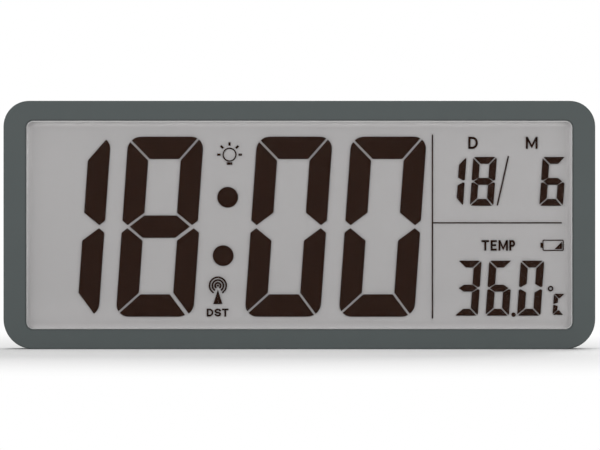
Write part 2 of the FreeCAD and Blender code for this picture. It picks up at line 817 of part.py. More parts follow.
def cover_openings():
    """What is cut out of the rear cover: bay, recess, pin holes, keys, vents and screw holes."""
    out = "rear_y + overcut"
    inside = "rear_inside - overcut"
    cuts = [slab(bay_outline("door_overlap"), "door_front - door_play", out, "door_seat")]
    cuts.append(slab(bay_outline("0"), "bay_floor_y", out, "bay"))
    right = "latch_width / 2 + latch_play"
    low = "door_high - door_play - latch_thick * 2 - latch_play"
    slot = (f"-({right})", low, right, low + " + latch_thick + latch_play * 2")
    cuts.append(slab(slot, "door_front - bay_wall * 2", out, "latch_slot"))
    base = ("-recess_right", "-overcut", "recess_right")
    cuts.append(slab((*base, "recess_top"), "recess_floor", out, "recess"))
    cuts.append(slab((*base, BARREL_ROOM_TOP), "barrel_floor", out, "barrel_room"))
    cuts.append(across("0", "recess_top - scoop_drop", "scoop_radius", "recess_floor", out))
    cuts += across_all(REAR_KEYS, "rear_key_radius + key_hole_play", inside, out)
    cuts.append(across("reset_x", "rear_key_z", "reset_radius + key_hole_play", inside, out))
    cuts += across_all(CASE_SCREWS, "case_screw_radius + screw_hole_play", "rear_boss_end - overcut", out)
    cuts += across_all(CASE_SCREWS, "case_screw_head_radius + screw_hole_play", "head_seat", out)
    cuts += across_all(BUZZER_HOLES, "buzzer_hole_radius", inside, out)
    low, high = "vent_z - vent_height / 2", "vent_z + vent_height / 2"
    for x in VENTS:
        cuts.append(slab((f"{x} - vent_width / 2", low, f"{x} + vent_width / 2", high), inside, out))
    for x, z in KEYHOLES:
        cuts.append(across(x, z, "keyhole_entry_radius", "rear_inside", out))
        right = f"{x} + keyhole_slot_radius"
        slot = (f"{x} - keyhole_slot_radius", z, right, f"{z} + keyhole_rise")
        cuts.append(slab(slot, "rear_inside", out))
        cuts.append(across(x, f"{z} + keyhole_rise", "keyhole_slot_radius", "rear_inside", out))
        cuts.append(slab(keyhole_outline(x, z, "0"), KEYHOLE_ROOM, "rear_inside"))
    half = "stand_pin_length / 2"
    pin = rod(RIGHT, f"-{half}", "stand_pin_y", "stand_pin_z", "stand_pin_radius", "stand_pin_length")
    half = "(door_right - door_play + door_pin_length + door_pin_play)"
    radius = "door_pin_radius + door_pin_play"
    cuts += [pin, rod(RIGHT, f"-{half}", "door_pin_y", "door_pin_z", radius, f"{half} * 2")]
    half = "(light_key_width / 2 + key_hole_play)"
    deep = "(light_key_depth / 2 + key_hole_play)"
    spans = (f"-{half}", half), (f"light_key_y - {deep}", f"light_key_y + {deep}")
    cuts.append(block(*spans, ("top_inside - overcut", "case_height + overcut"), "light_key_slot"))
    return cuts


def rear_cover():
    """The back of the case with its lip, battery bay, stand recess, key holes and bosses."""
    solid = join([cover_form(), *cover_walls()], "cover_solid")
    return keep(less(solid, cover_openings(), "rear_cover"), "rear_cover")


# Display stack, from the window back to the holder


def display_window():
    """The clear window: a face that fills the opening and a flange behind the bezel."""
    body = doc.addObject("PartDesign::Body", "display_window")
    face_y = "front_y + window_set_back"
    face = add_material(body, "window_face", face_y, "front_inside", [aperture("-window_play")])
    round_edges(body, "window_edge", face, "window_bevel", at_y(face_y), "Chamfer")
    add_material(body, "window_rim", "front_inside", "flange_rear", [aperture("window_flange")])
    return keep(body, "display_window")


def pane(label, y, low, inset="0"):
    """A flat sheet behind the window with square corners, its foot at low."""
    right = f"(glass_right - ({inset}))"
    sheet_box = (f"-{right}", f"({low}) + {inset}", right, f"glass_top - ({inset})", "0")
    body = doc.addObject("PartDesign::Body", label)
    add_material(body, label + "_sheet", y[0], y[1], [sheet_box])
    return keep(body, label)


def frame_box(inset, low):
    """The outline of the rear glass, smaller by an expression all round."""
    right = f"glass_right - ({inset})"
    return (f"-({right})", f"({low}) + ({inset})", right, f"glass_top - ({inset})", "0")


def display_panes():
    """The polarisers, the two glasses, the seal between them, the light guide and the reflector."""
    gasket = aperture("window_flange"), aperture("window_flange - gasket_width")
    ringed("window_gasket", ("flange_rear", "gasket_rear"), *gasket)
    pane("front_polariser", ("gasket_rear", "front_glass_y"), "glass_base", "film_thick * 4")
    pane("lcd_front_glass", ("front_glass_y", "liquid_front"), "glass_base")
    seal = [frame_box(inset, "rear_glass_base") for inset in ("seal_width / 3", "seal_width * 4 / 3")]
    ringed("lcd_seal", ("liquid_front", "liquid_rear"), *seal)
    pane("lcd_rear_glass", ("liquid_rear", "rear_glass_rear"), "rear_glass_base")
    pane("rear_polariser", ("rear_glass_rear", "guide_front"), "rear_glass_base", "film_thick * 2")
    body = doc.addObject("PartDesign::Body", "light_guide")
    left = "-glass_right + strip_thick + led_depth + holder_play"
    guide = (left, "rear_glass_base + holder_play", "glass_right", "glass_top - holder_play", "0")
    add_material(body, "guide_plate", "guide_front", "guide_rear", [guide])
    keep(body, "light_guide")
    body = doc.addObject("PartDesign::Body", "reflector_film")
    add_material(body, "reflector_sheet", "guide_rear", "holder_front", [guide])
    keep(body, "reflector_film")


def lamp_strip():
    """The board at the left end of the light guide and its row of lamps."""
    deep = ("guide_front + stack_play / 2", "guide_rear - stack_play / 2")
    low = "case_height / 2 - strip_length / 2"
    high = low + " + strip_length"
    board_end = "-glass_right + strip_thick"
    keep(block(("-glass_right", board_end), deep, (low, high), "led_strip_board"), "led_strip_board")
    lamps = []
    for step in range(int(size("led_count"))):
        middle = f"{low} + strip_length * {2 * step + 1} / (2 * led_count)"
        span = (f"{middle} - led_length / 2", f"{middle} + led_length / 2")
        lamps.append(block((board_end, board_end + " + led_depth"), deep, span, "led"))
    group("backlight_leds", lamps)


def display_holder():
    """The tray behind the light guide: plate, side walls, screw lugs and board stand-offs."""
    right, low, high = "holder_right", "holder_base", "holder_top"
    plate = slab((f"-{right}", low, right, high), "holder_front", "holder_rear", "holder_plate")
    walls = slab((f"-{right}", low, right, high), "gasket_rear", "holder_front", "holder_walls")
    wall = "holder_wall"
    inside = (f"-({right} - {wall})", f"{low} + {wall}", f"{right} - {wall}", f"{high} - {wall}")
    room = slab(inside, "gasket_rear", "holder_front", "holder_room")
    lug_radius = "small_boss_radius"
    lugs = across_all(HOLDER_SCREWS, lug_radius, "holder_front", "holder_rear")
    for x, z in HOLDER_SCREWS[:3]:
        box = (f"{x} - {lug_radius}", f"{high} - {wall}", f"{x} + {lug_radius}", z)
        lugs.append(slab(box, "holder_front", "holder_rear"))
    for x, z in HOLDER_SCREWS[3:]:
        ends = (x, f"-({right} - {wall})") if x.startswith("-") else (f"{right} - {wall}", x)
        box = (ends[0], f"{z} - {lug_radius}", ends[1], f"{z} + {lug_radius}")
        lugs.append(slab(box, "holder_front", "holder_rear"))
    posts = across_all(BOARD_SCREWS, lug_radius, "holder_rear", "board_front")
    posts += across_all(RECEIVER_SCREWS, lug_radius, "holder_rear", "board_front")
    solid = join([less(walls, [room]), plate, *lugs, *posts], "holder_solid")
    near, far = "holder_front - overcut", "holder_rear + overcut"
    holes = across_all(HOLDER_SCREWS, "small_screw_radius + pilot_play * 2", near, far)
    notch, outside = f"{right} - holder_notch", f"{right} + overcut"
    for ends in ((notch, outside), (f"-({outside})", f"-({notch})")):
        box = (ends[0], f"{low} - overcut", ends[1], f"{low} + holder_notch")
        holes.append(slab(box, "gasket_rear - overcut", far))
    posts_far = "board_front + overcut"
    pilot_places = BOARD_SCREWS + RECEIVER_SCREWS
    pilots = across_all(pilot_places, "small_screw_radius + pilot_play", "holder_front", posts_far)
    for left, end in ZEBRA_SPANS:
        slot_low, slot_high = "glass_base + holder_play / 2", "rear_glass_base - holder_play / 2"
        slot = (f"{left} - holder_play", slot_low, f"{end} + holder_play", slot_high)
        holes.append(slab(slot, near, far))
    return keep(less(solid, holes + pilots, "display_holder"), "display_holder")


ZEBRA_MIDDLE = "(main_left + main_right) / 2"
ZEBRA_SPANS = [
    ("main_left + zebra_end", f"{ZEBRA_MIDDLE} - zebra_gap / 2"),
    (f"{ZEBRA_MIDDLE} + zebra_gap / 2", "main_right - zebra_end"),
]


def zebra_strips():
    """The two rubber connectors from the glass ledge to the main board."""
    low = "(glass_base + rear_glass_base) / 2 - zebra_width / 2"
    deep = ("liquid_front", "board_front")
    strips = [block(span, deep, (low, low + " + zebra_width"), "zebra") for span in ZEBRA_SPANS]
    return group("zebra_strips", strips)


# Liquid crystal segments, thin solids between the two glasses

SLANT_SHARE = 0.07
CUT_ANGLES = {-1: math.radians(40), 1: math.radians(55)}
TIP_SHARE = 0.852
MIDDLE_TIP_SHARE = 0.797
OUTER_SHOULDER_SHARE = 0.067
INNER_SHOULDER_SHARE = 0.155
LIT = {"0": "abcdef", "1": "bc", "3": "abcdg", "6": "acdefg", "8": "abcdefg", "C": "adef"}


class Digit:
    """One slanted seven segment digit, with its half width, half height, strokes and gap."""

    def __init__(self, x, z, width, height, flat, upright, corner, gap):
        names = (x, z, width, height, flat, upright, corner, gap)
        self.x, self.z, width, height, self.flat, self.upright, self.corner, self.gap = map(size, names)
        self.half_width = width / 2
        self.half_height = height / 2

    def place(self, across_point, up_point):
        """A point of the upright digit, slanted and put on the glass."""
        leaned = self.x + across_point + SLANT_SHARE * up_point
        return Vector(leaned, size("liquid_front"), self.z + up_point)

    def bend(self, side, level, angle):
        """A point of the rounded outer corner, the angle measured from the side upwards."""
        run = self.half_width - self.corner + self.corner * math.cos(angle)
        rise = self.half_height - self.corner + self.corner * math.sin(angle)
        return self.place(side * run, level * rise)

    def arc(self, side, level, start, end):
        """The stretch of the outer corner between two angles."""
        points = [self.bend(side, level, angle) for angle in (start, (start + end) / 2, end)]
        return Part.Arc(*points).toShape()

    def solid(self, edges):
        """A closed outline of edges, with straight edges put in between them, made thin and solid."""
        closed = []
        for edge, after in zip(edges, edges[1:] + edges[:1]):
            closed.append(edge)
            start, end = edge.Vertexes[-1].Point, after.Vertexes[0].Point
            if start.distanceToPoint(end) > size("cell_gap") / 100:
                closed.append(Part.LineSegment(start, end).toShape())
        face = Part.Face(Part.Wire(closed))
        return face.extrude(BACK * size("cell_gap"))

    def line(self, *ends):
        """A straight edge between two points of the upright digit."""
        return Part.LineSegment(*[self.place(*end) for end in ends]).toShape()

    def upright_bar(self, side, level):
        """Segment b, c, e or f."""
        inner = side * (self.half_width - self.upright)
        high = self.half_height
        spread = self.gap / 2 / self.corner
        foot = (inner, level * INNER_SHOULDER_SHARE * high)
        tip = (side * TIP_SHARE * self.half_width, level * self.gap * 3 / 4)
        shoulder = (side * self.half_width, level * OUTER_SHOULDER_SHARE * high)
        top = (inner, level * (high - self.flat - self.gap * 3 / 4))
        end = (side * self.half_width, level * (high - self.corner))
        arc = self.arc(side, level, 0, CUT_ANGLES[side] - spread)
        corners = [top, foot, tip, shoulder, end]
        return self.solid([self.line(*pair) for pair in zip(corners, corners[1:])] + [arc])

    def flat_bar(self, level):
        """Segment a or d."""
        spread = self.gap / 2 / self.corner
        inner = self.half_width - self.upright - self.gap * 3 / 4
        rise = level * (self.half_height - self.flat)
        left = self.arc(-1, level, CUT_ANGLES[-1] + spread, math.pi / 2)
        right = self.arc(1, level, math.pi / 2, CUT_ANGLES[1] + spread)
        return self.solid([left, right, self.line((inner, rise), (-inner, rise))])

    def middle_bar(self):
        """Segment g."""
        inner = self.half_width - self.upright
        tip = MIDDLE_TIP_SHARE * self.half_width
        rise = self.flat / 2
        points = [(-tip, 0), (-inner, rise), (inner, rise), (tip, 0), (inner, -rise), (-inner, -rise)]
        return self.solid([self.line(*pair) for pair in zip(points, points[1:] + points[:1])])

    def lit(self, figure, apart="0"):
        """The solids of the segments that show a figure, with segment c set apart to the right."""
        bars = {
            "a": lambda: self.flat_bar(1),
            "b": lambda: self.upright_bar(1, 1),
            "c": lambda: self.upright_bar(1, -1),
            "d": lambda: self.flat_bar(-1),
            "e": lambda: self.upright_bar(-1, -1),
            "f": lambda: self.upright_bar(-1, 1),
            "g": self.middle_bar,
        }
        shift = Vector(size(apart), 0, 0)
        return [bars[letter]().translated(shift if letter == "c" else Vector()) for letter in LIT[figure]]


def flat_piece(label, solids):
    """Thin solids kept together as one sub-part."""
    item = doc.addObject("Part::Feature", label)
    item.Shape = Part.makeCompound(solids)
    item.Placement = FreeCAD.Placement()
    return keep(item, label)


def time_digits():
    """The four large digits, 18 00."""
    form = ("time_digit_width", "time_digit_height", "time_stroke_flat", "time_stroke_upright")
    places = ("time_tens_x", "time_hours_x", "minute_tens_x", "minutes_x")
    solids = []
    for x, figure in zip(places, "1800"):
        digit = Digit(x, "time_centre_height", *form, "time_digit_corner", "time_segment_gap")
        solids += digit.lit(figure, "hours_bar_apart" if x == "time_hours_x" else "0")
    return flat_piece("time_digits", solids)


def date_digits():
    """The day and the month, 18 and 6."""
    form = ("date_digit_width", "date_digit_height", "date_stroke", "date_stroke", "date_digit_corner")
    solids = []
    for x, figure in zip(("day_tens_x", "day_units_x", "month_x"), "186"):
        solids += Digit(x, "date_centre_height", *form, "small_segment_gap").lit(figure)
    return flat_piece("date_digits", solids)


def temperature_digits():
    """The temperature, 36.0, with its point, degree ring and unit."""
    strokes = ("warm_stroke_flat", "warm_stroke_upright")
    form = ("warm_digit_width", "warm_digit_height", *strokes, "date_digit_corner")
    solids = []
    for x, figure in zip(("warm_tens_x", "warm_units_x", "warm_tenths_x"), "360"):
        solids += Digit(x, "warm_centre_height", *form, "small_segment_gap").lit(figure)
    unit = ("unit_width", "unit_height", "unit_stroke", "unit_stroke", "unit_corner", "unit_gap")
    solids += Digit("unit_x", "unit_z", *unit).lit("C")
    solids.append(spot("decimal_point_x", "decimal_point_z", "decimal_point_radius"))
    solids.append(loop("degree_x", "degree_z", "degree_radius", "degree_line"))
    return flat_piece("temperature_digits", solids)


def spot(x, z, radius):
    """A round dot in the liquid crystal layer."""
    centre = Vector(size(x), size("liquid_front"), size(z))
    return Part.makeCylinder(size(radius), size("cell_gap"), centre, BACK)


def loop(x, z, radius, line):
    """A ring in the liquid crystal layer, its line measured inwards."""
    return spot(x, z, radius).cut(spot(x, z, f"({radius}) - ({line})"))


def shape_of(points):
    """A thin solid with straight sides through points given as pairs of numbers."""
    corners = [Vector(x, size("liquid_front"), z) for x, z in points]
    return Part.Face(Part.makePolygon(corners + corners[:1])).extrude(BACK * size("cell_gap"))


def stroke(x0, z0, x1, z1, width):
    """A straight bar of one width between two points given as numbers."""
    long = math.hypot(x1 - x0, z1 - z0)
    side_x, side_z = (z0 - z1) / long * width / 2, (x1 - x0) / long * width / 2
    one_side = [(x0 + side_x, z0 + side_z), (x1 + side_x, z1 + side_z)]
    return shape_of(one_side + [(x1 - side_x, z1 - side_z), (x0 - side_x, z0 - side_z)])


def oblong(left, low, right, high):
    """A thin upright rectangle between two corners given as numbers."""
    return shape_of([(left, low), (right, low), (right, high), (left, high)])


def display_rules():
    """The ruled lines and the slash between day and month."""
    width = size("rule_width")
    upright_x = size("rule_upright_x")
    flat_z = size("rule_flat_z")
    solids = [stroke(upright_x, size("rule_low"), upright_x, size("rule_high"), width)]
    solids.append(stroke(upright_x + width / 2, flat_z, size("rule_flat_end"), flat_z, width))
    ends = [size(name) for name in ("slash_low_x", "slash_low_z", "slash_high_x", "slash_high_z")]
    solids.append(stroke(*ends, size("slash_width")))
    return flat_piece("display_rules", solids)


def lamp_symbol():
    """A lamp: a ring, a base and five rays."""
    x, z = size("lamp_x"), size("lamp_z")
    base, tall = size("lamp_base_width / 2"), size("lamp_base_height")
    top = z - size("lamp_radius + lamp_line / 2")
    solids = [loop("lamp_x", "lamp_z", "lamp_radius", "lamp_line")]
    solids.append(oblong(x - base, top - tall, x + base, top))
    inner, outer = size("lamp_ray_inner"), size("lamp_ray_outer")
    for step in range(5):
        run, rise = math.cos(math.pi * step / 4), math.sin(math.pi * step / 4)
        ends = (x + run * inner, z + rise * inner, x + run * outer, z + rise * outer)
        solids.append(stroke(*ends, size("lamp_ray_width")))
    return solids


def radio_symbol():
    """A radio mast: three open rings, a dot and a mast."""
    x, z = size("radio_x"), size("radio_z")
    reach = size("radio_ring_outer") * 2
    half = math.radians(30)
    side = reach * math.tan(half)
    wedge = shape_of([(x, z), (x - side, z - reach), (x + side, z - reach)])
    solids = []
    for step in range(3):
        radius = f"radio_ring_outer - {step} * radio_ring_step"
        solids.append(loop("radio_x", "radio_z", radius, "radio_line").cut(wedge))
    apex = z - size("mast_drop")
    foot = apex - size("mast_height")
    half_width = size("mast_width / 2")
    solids.append(spot("radio_x", "radio_z", "radio_dot_radius"))
    solids.append(shape_of([(x, apex), (x - half_width, foot), (x + half_width, foot)]))
    return solids


def charge_symbol():
    """A battery gauge: an outline with a tip at its left and a wedge inside."""
    x, z = size("charge_x"), size("charge_z")
    half_width, half_height = size("charge_width / 2"), size("charge_height / 2")
    line, inset, wedge = size("charge_line"), size("charge_wedge_inset"), size("charge_wedge")
    tip, tip_half = size("charge_tip_width"), size("charge_tip_height / 2")
    frame = []
    for grow in (0, line):
        corner = Vector(x - half_width + grow, size("liquid_front"), z - half_height + grow)
        wide, tall = 2 * (half_width - grow), 2 * (half_height - grow)
        box = Part.makeBox(wide, size("cell_gap"), tall, corner)
        upright = [e for e in box.Edges if e.BoundBox.YLength > size("cell_gap") / 2]
        frame.append(box.makeFillet(size("charge_corner") - grow, upright))
    left = x - half_width
    solids = [frame[0].cut(frame[1])]
    solids.append(oblong(left - tip, z - tip_half, left, z + tip_half))
    right, low = x + half_width - inset, z - half_height + inset
    solids.append(shape_of([(right, low), (right, low + wedge), (right - wedge, low)]))
    return solids


def time_colon():
    """The two round dots of the time."""
    high = spot("colon_high_x", "colon_high_z", "colon_radius")
    return flat_piece("time_colon", [high, spot("colon_low_x", "colon_low_z", "colon_radius")])


# Boards and what is soldered on them


def screw(x, z, tip, seat, radius, head_radius, head):
    """A screw along Y from its tip to its seat, with its head behind and a driver slot."""
    shank = across(x, z, radius, tip, seat)
    cap = across(x, z, head_radius, seat, f"{seat} + {head}")
    low, high = f"{z} - drive_slot / 2", f"{z} + drive_slot / 2"
    slot = (f"{x} - {head_radius}", low, f"{x} + {head_radius}", high)
    groove = slab(slot, f"{seat} + {head} / 2", f"{seat} + {head} + overcut")
    return less(join([shank, cap]), [groove], "screw")


def small_screws(places, tip, seat):
    """Pan head screws for boards and lugs at a list of places."""
    form = ("small_screw_radius", "small_screw_head_radius", "small_screw_head")
    return [screw(x, z, tip, seat, *form) for x, z in places]


def screws():
    """The case screws, holder screws and board screws."""
    form = ("case_screw_radius", "case_screw_head_radius", "case_screw_head")
    tip = "front_boss_end - case_screw_grip + pilot_play * 4"
    group("case_screws", [screw(x, z, tip, "head_seat", *form) for x, z in CASE_SCREWS])
    group("holder_screws", small_screws(HOLDER_SCREWS, "holder_front - small_screw_grip", "holder_rear"))
    tip = "holder_front + pilot_play * 4"
    group("board_screws", small_screws(BOARD_SCREWS + RECEIVER_SCREWS, tip, "board_rear"))


def board(label, outline, places):
    """A circuit board behind the holder with its screw holes."""
    plate = slab(outline, "board_front", "board_rear", label + "_plate")
    far = "board_rear + overcut"
    holes = across_all(places, "small_screw_radius + pilot_play * 2", "board_front - overcut", far)
    return keep(less(plate, holes, label), label)


def key_switch(x, z):
    """A square key switch on the back of the main board with its round plunger."""
    half = "key_switch_side / 2"
    outline = (f"{x} - {half}", f"{z} - {half}", f"{x} + {half}", f"{z} + {half}")
    case_top = "board_rear + key_switch_height"
    case = slab(outline, "board_rear", case_top)
    return join([case, across(x, z, "key_plunger_radius", case_top, "switch_top")], "key_switch")


def main_board_parts():
    """The boards, the controller blob, crystal, capacitors, resistors and key switches."""
    board("main_board", ("main_left", "main_base", "main_right", "main_top"), BOARD_SCREWS)
    receiver_right = "receiver_left + receiver_width"
    receiver_high = "receiver_base + receiver_height"
    outline = ("receiver_left", "receiver_base", receiver_right, receiver_high)
    board("receiver_board", outline, RECEIVER_SCREWS)
    radii = ("blob_radius", "blob_radius * 0.6")
    blob = rod(BACK, "blob_x", "board_rear", "blob_z", radii, "blob_height", "blob", "Part::Cone")
    keep(blob, "controller_blob")
    crystal_y = "board_rear + crystal_radius"
    crystal_x = "blob_x + blob_radius * 2"
    crystal = rod(UP, crystal_x, crystal_y, "blob_z", "crystal_radius", "crystal_length", "crystal")
    keep(crystal, "clock_crystal")
    caps = []
    for step in range(4):
        x = f"blob_x + blob_radius * 2 + {step + 1} * capacitor_radius * 3"
        caps.append(across(x, "blob_z", "capacitor_radius", "board_rear", "board_rear + capacitor_length"))
    group("capacitors", caps)
    chips = []
    for step in range(6):
        left = f"blob_x - blob_radius * 2 - {step + 1} * resistor_length * 1.5"
        outline = (left, "blob_z", left + " + resistor_length", "blob_z + resistor_width")
        chips.append(slab(outline, "board_rear", "board_rear + resistor_height"))
    group("chip_resistors", chips)
    switches = [key_switch(x, z) for x, z in REAR_KEYS + [("reset_x", "rear_key_z")]]
    group("key_switches", switches)


def radio_antenna():
    """The ferrite rod across the case with its coil and its two holders."""
    left = "ferrite_x - ferrite_length / 2"
    bar = rod(RIGHT, left, "ferrite_y", "ferrite_z", "ferrite_radius", "ferrite_length", "ferrite")
    keep(bar, "ferrite_rod")
    left = "ferrite_x - coil_length / 2"
    outer = rod(RIGHT, left, "ferrite_y", "ferrite_z", "ferrite_radius + coil_wall", "coil_length")
    inner = rod(RIGHT, left, "ferrite_y", "ferrite_z", "ferrite_radius", "coil_length")
    keep(less(outer, [inner], "antenna_coil"), "antenna_coil")
    holders = []
    reach = "(ferrite_radius + antenna_holder_wall)"
    for side in ("-", "+"):
        middle = f"ferrite_x {side} (ferrite_length / 2 - antenna_holder_inset)"
        span = (f"{middle} - antenna_holder_length / 2", f"{middle} + antenna_holder_length / 2")
        tall = (f"ferrite_z - {reach}", f"ferrite_z + {reach}")
        base = block(span, (f"ferrite_y - {reach}", "rear_inside"), tall, "holder")
        hole_left = span[0] + " - overcut"
        length = "antenna_holder_length + overcut * 2"
        bore = rod(RIGHT, hole_left, "ferrite_y", "ferrite_z", "ferrite_radius", length)
        holders.append(less(base, [bore], "antenna_holder"))
    group("antenna_holders", holders)


def buzzer_and_sensor():
    """The sounding disc on its seat and the temperature sensor on its leads."""
    rear = "rear_inside - buzzer_stand_off"
    front = rear + " - buzzer_plate"
    plate = across("buzzer_x", "buzzer_z", "buzzer_radius", front, rear)
    ceramic = across("buzzer_x", "buzzer_z", "buzzer_ceramic_radius", front + " - buzzer_ceramic", front)
    keep(join([plate, ceramic], "buzzer_disc"), "buzzer_disc")
    lead_y = "board_rear + sensor_lead_radius"
    bead = doc.addObject("Part::Sphere", "bead")
    bind(bead, "Radius", "sensor_radius")
    for letter, text in (("x", "vent_x"), ("y", lead_y), ("z", "vent_z")):
        bind(bead, "Placement.Base." + letter, text)
    low = "main_top - board_screw_inset"
    leads = []
    for side in ("-", "+"):
        x = f"vent_x {side} sensor_lead_pitch / 2"
        leads.append(rod(UP, x, lead_y, low, "sensor_lead_radius", f"vent_z - ({low})"))
    keep(join([bead, *leads], "thermistor"), "thermistor")


# Battery bay


def battery_bay():
    """The three cells with their coil springs, flat contacts and the plates that link them."""
    left = "-bay_width / 2"
    cells, springs, flats = [], [], []
    for step in (-1, 0, 1):
        z = f"bay_z + {step} * cell_pitch"
        side = 1 if step % 2 == 0 else -1
        end = "bay_width / 2 - contact_thick - cell_nub"
        start = f"{end} - cell_length"
        if side > 0:
            tube = rod(RIGHT, start, "cell_y", z, "cell_radius", "cell_length")
            nub = rod(RIGHT, end, "cell_y", z, "cell_nub_radius", "cell_nub")
        else:
            tube = rod(RIGHT, f"-({end})", "cell_y", z, "cell_radius", "cell_length")
            nub = rod(RIGHT, f"-({end}) - cell_nub", "cell_y", z, "cell_nub_radius", "cell_nub")
        cells.append(join([tube, nub], "cell"))
        springs.append(cell_spring(side, z))
        flats.append(contact(side, z))
        flats.append(contact(-side, z))
    group("aa_cells", cells)
    group("battery_contacts", flats)
    group("battery_springs", springs)


def contact(side, z):
    """A flat contact plate against one end wall of the bay."""
    near = "bay_width / 2 - contact_thick"
    span = (near, "bay_width / 2") if side > 0 else ("-bay_width / 2", f"-({near})")
    tall = (f"{z} - plate_width / 2", f"{z} + plate_width / 2")
    return block(span, ("cell_y - plate_width / 2", "cell_y + plate_width / 2"), tall, "contact")


def cell_spring(side, z):
    """The sleeve that a coil spring fills between the flat end of a cell and its contact."""
    gap = "spring_gap"
    left = "-bay_width / 2 + contact_thick" if side > 0 else f"bay_width / 2 - contact_thick - {gap}"
    outer = rod(RIGHT, left, "cell_y", z, "spring_radius + spring_wire", gap)
    inner = rod(RIGHT, left, "cell_y", z, "spring_radius - spring_wire", gap)
    return less(outer, [inner], "spring")


def battery_door():
    """The door of the battery bay with its hinge pins, latch tongue and grip ribs."""
    right = "(door_right - door_play)"
    low, high = "door_pin_z", "(door_high - door_play)"
    rear = "rear_y"
    plate = slab((f"-{right}", low, right, high), "door_front", rear, "door_plate")
    edge = rod(RIGHT, f"-{right}", "door_pin_y", "door_pin_z", "door_thick / 2", f"{right} * 2")
    reach = "(door_right - door_play + door_pin_length)"
    pins = rod(RIGHT, f"-{reach}", "door_pin_y", "door_pin_z", "door_pin_radius", f"{reach} * 2")
    tongue_low = "door_high - door_play - latch_thick * 2"
    tongue = ("-latch_width / 2", tongue_low, "latch_width / 2", tongue_low + " + latch_thick")
    latch = slab(tongue, "door_front - latch_reach", "door_front", "latch")
    grips = []
    for step in range(5):
        z = f"door_high - door_overlap - {step + 1} * grip_width * 2"
        outline = ("-latch_width", z, "latch_width", z + " + grip_width")
        grips.append(slab(outline, "rear_y - grip_depth", "rear_y + overcut", "grip"))
    solid = join([plate, edge, pins, latch], "door_solid")
    return keep(less(solid, grips, "battery_door"), "battery_door")


# Table stand


def table_stand():
    """The fold-down leg: barrel, plate with rounded end, two ribs and a seat for its pad."""
    right = "(stand_width / 2)"
    body = doc.addObject("PartDesign::Body", "stand_plate")
    outline = (f"-{right}", "stand_pin_z", right, "stand_top", "stand_corner")
    add_material(body, "stand_blank", "stand_rear", "stand_front", [outline])
    foot = (f"-{right}", "stand_pin_z", right, "stand_pin_z + stand_corner")
    square = slab(foot, "stand_front", "stand_rear")
    barrel = rod(RIGHT, f"-{right}", "stand_pin_y", "stand_pin_z", "stand_barrel", "stand_width")
    ribs = []
    for x in ("-stand_width / 4", "stand_width / 4"):
        span = (f"{x} - stand_thick / 2", f"{x} + stand_thick / 2")
        tall = ("stand_pin_z", "stand_top - stand_corner")
        ribs.append(block(span, ("stand_front - stand_rib_height", "stand_front"), tall, "rib"))
    solid = join([body, square, barrel, *ribs], "stand_solid")
    bore_start = f"-{right} - overcut"
    bore = "stand_pin_radius + stand_pin_play"
    pin = rod(RIGHT, bore_start, "stand_pin_y", "stand_pin_z", bore, "stand_width + overcut * 2")
    seat = slab(PAD_OUTLINE, "stand_rear + pad_proud - pad_thick", "stand_rear + overcut", "pad_seat")
    return keep(less(solid, [pin, seat], "table_stand"), "table_stand")


PAD_OUTLINE = (
    "-stand_width / 2 + stand_corner",
    "stand_top - stand_corner - pad_length",
    "stand_width / 2 - stand_corner",
    "stand_top - stand_corner",
)


def stand_fittings():
    """The steel hinge pin and the rubber pad of the stand."""
    left = "-stand_pin_length / 2"
    pin = rod(RIGHT, left, "stand_pin_y", "stand_pin_z", "stand_pin_radius", "stand_pin_length", "pin")
    keep(pin, "stand_hinge_pin")
    rear = "stand_rear + pad_proud"
    keep(slab(PAD_OUTLINE, rear + " - pad_thick", rear, "stand_pad"), "stand_pad")


# Keys


def rear_key(label, x):
    """A round key: dished cap, flange behind the wall and stem to its switch."""
    cap = across(x, "rear_key_z", "rear_key_radius", "key_flange_rear", "key_face")
    flange_front = "key_flange_rear - key_flange_thick"
    flange = across(x, "rear_key_z", "rear_key_radius + key_flange", flange_front, "key_flange_rear")
    stem = across(x, "rear_key_z", "key_stem_radius", "switch_top + key_press_gap", flange_front)
    return keep(join([cap, flange, stem], label), label)


def reset_key():
    """The small key that is pressed with a pointed tool."""
    flange_front = "key_flange_rear - key_flange_thick"
    cap = across("reset_x", "rear_key_z", "reset_radius", "key_flange_rear", "rear_y - reset_sink")
    wide = "reset_radius + key_flange"
    flange = across("reset_x", "rear_key_z", wide, flange_front, "key_flange_rear")
    stem = across("reset_x", "rear_key_z", "reset_radius", "switch_top + key_press_gap", flange_front)
    return keep(join([cap, flange, stem], "reset_button"), "reset_button")


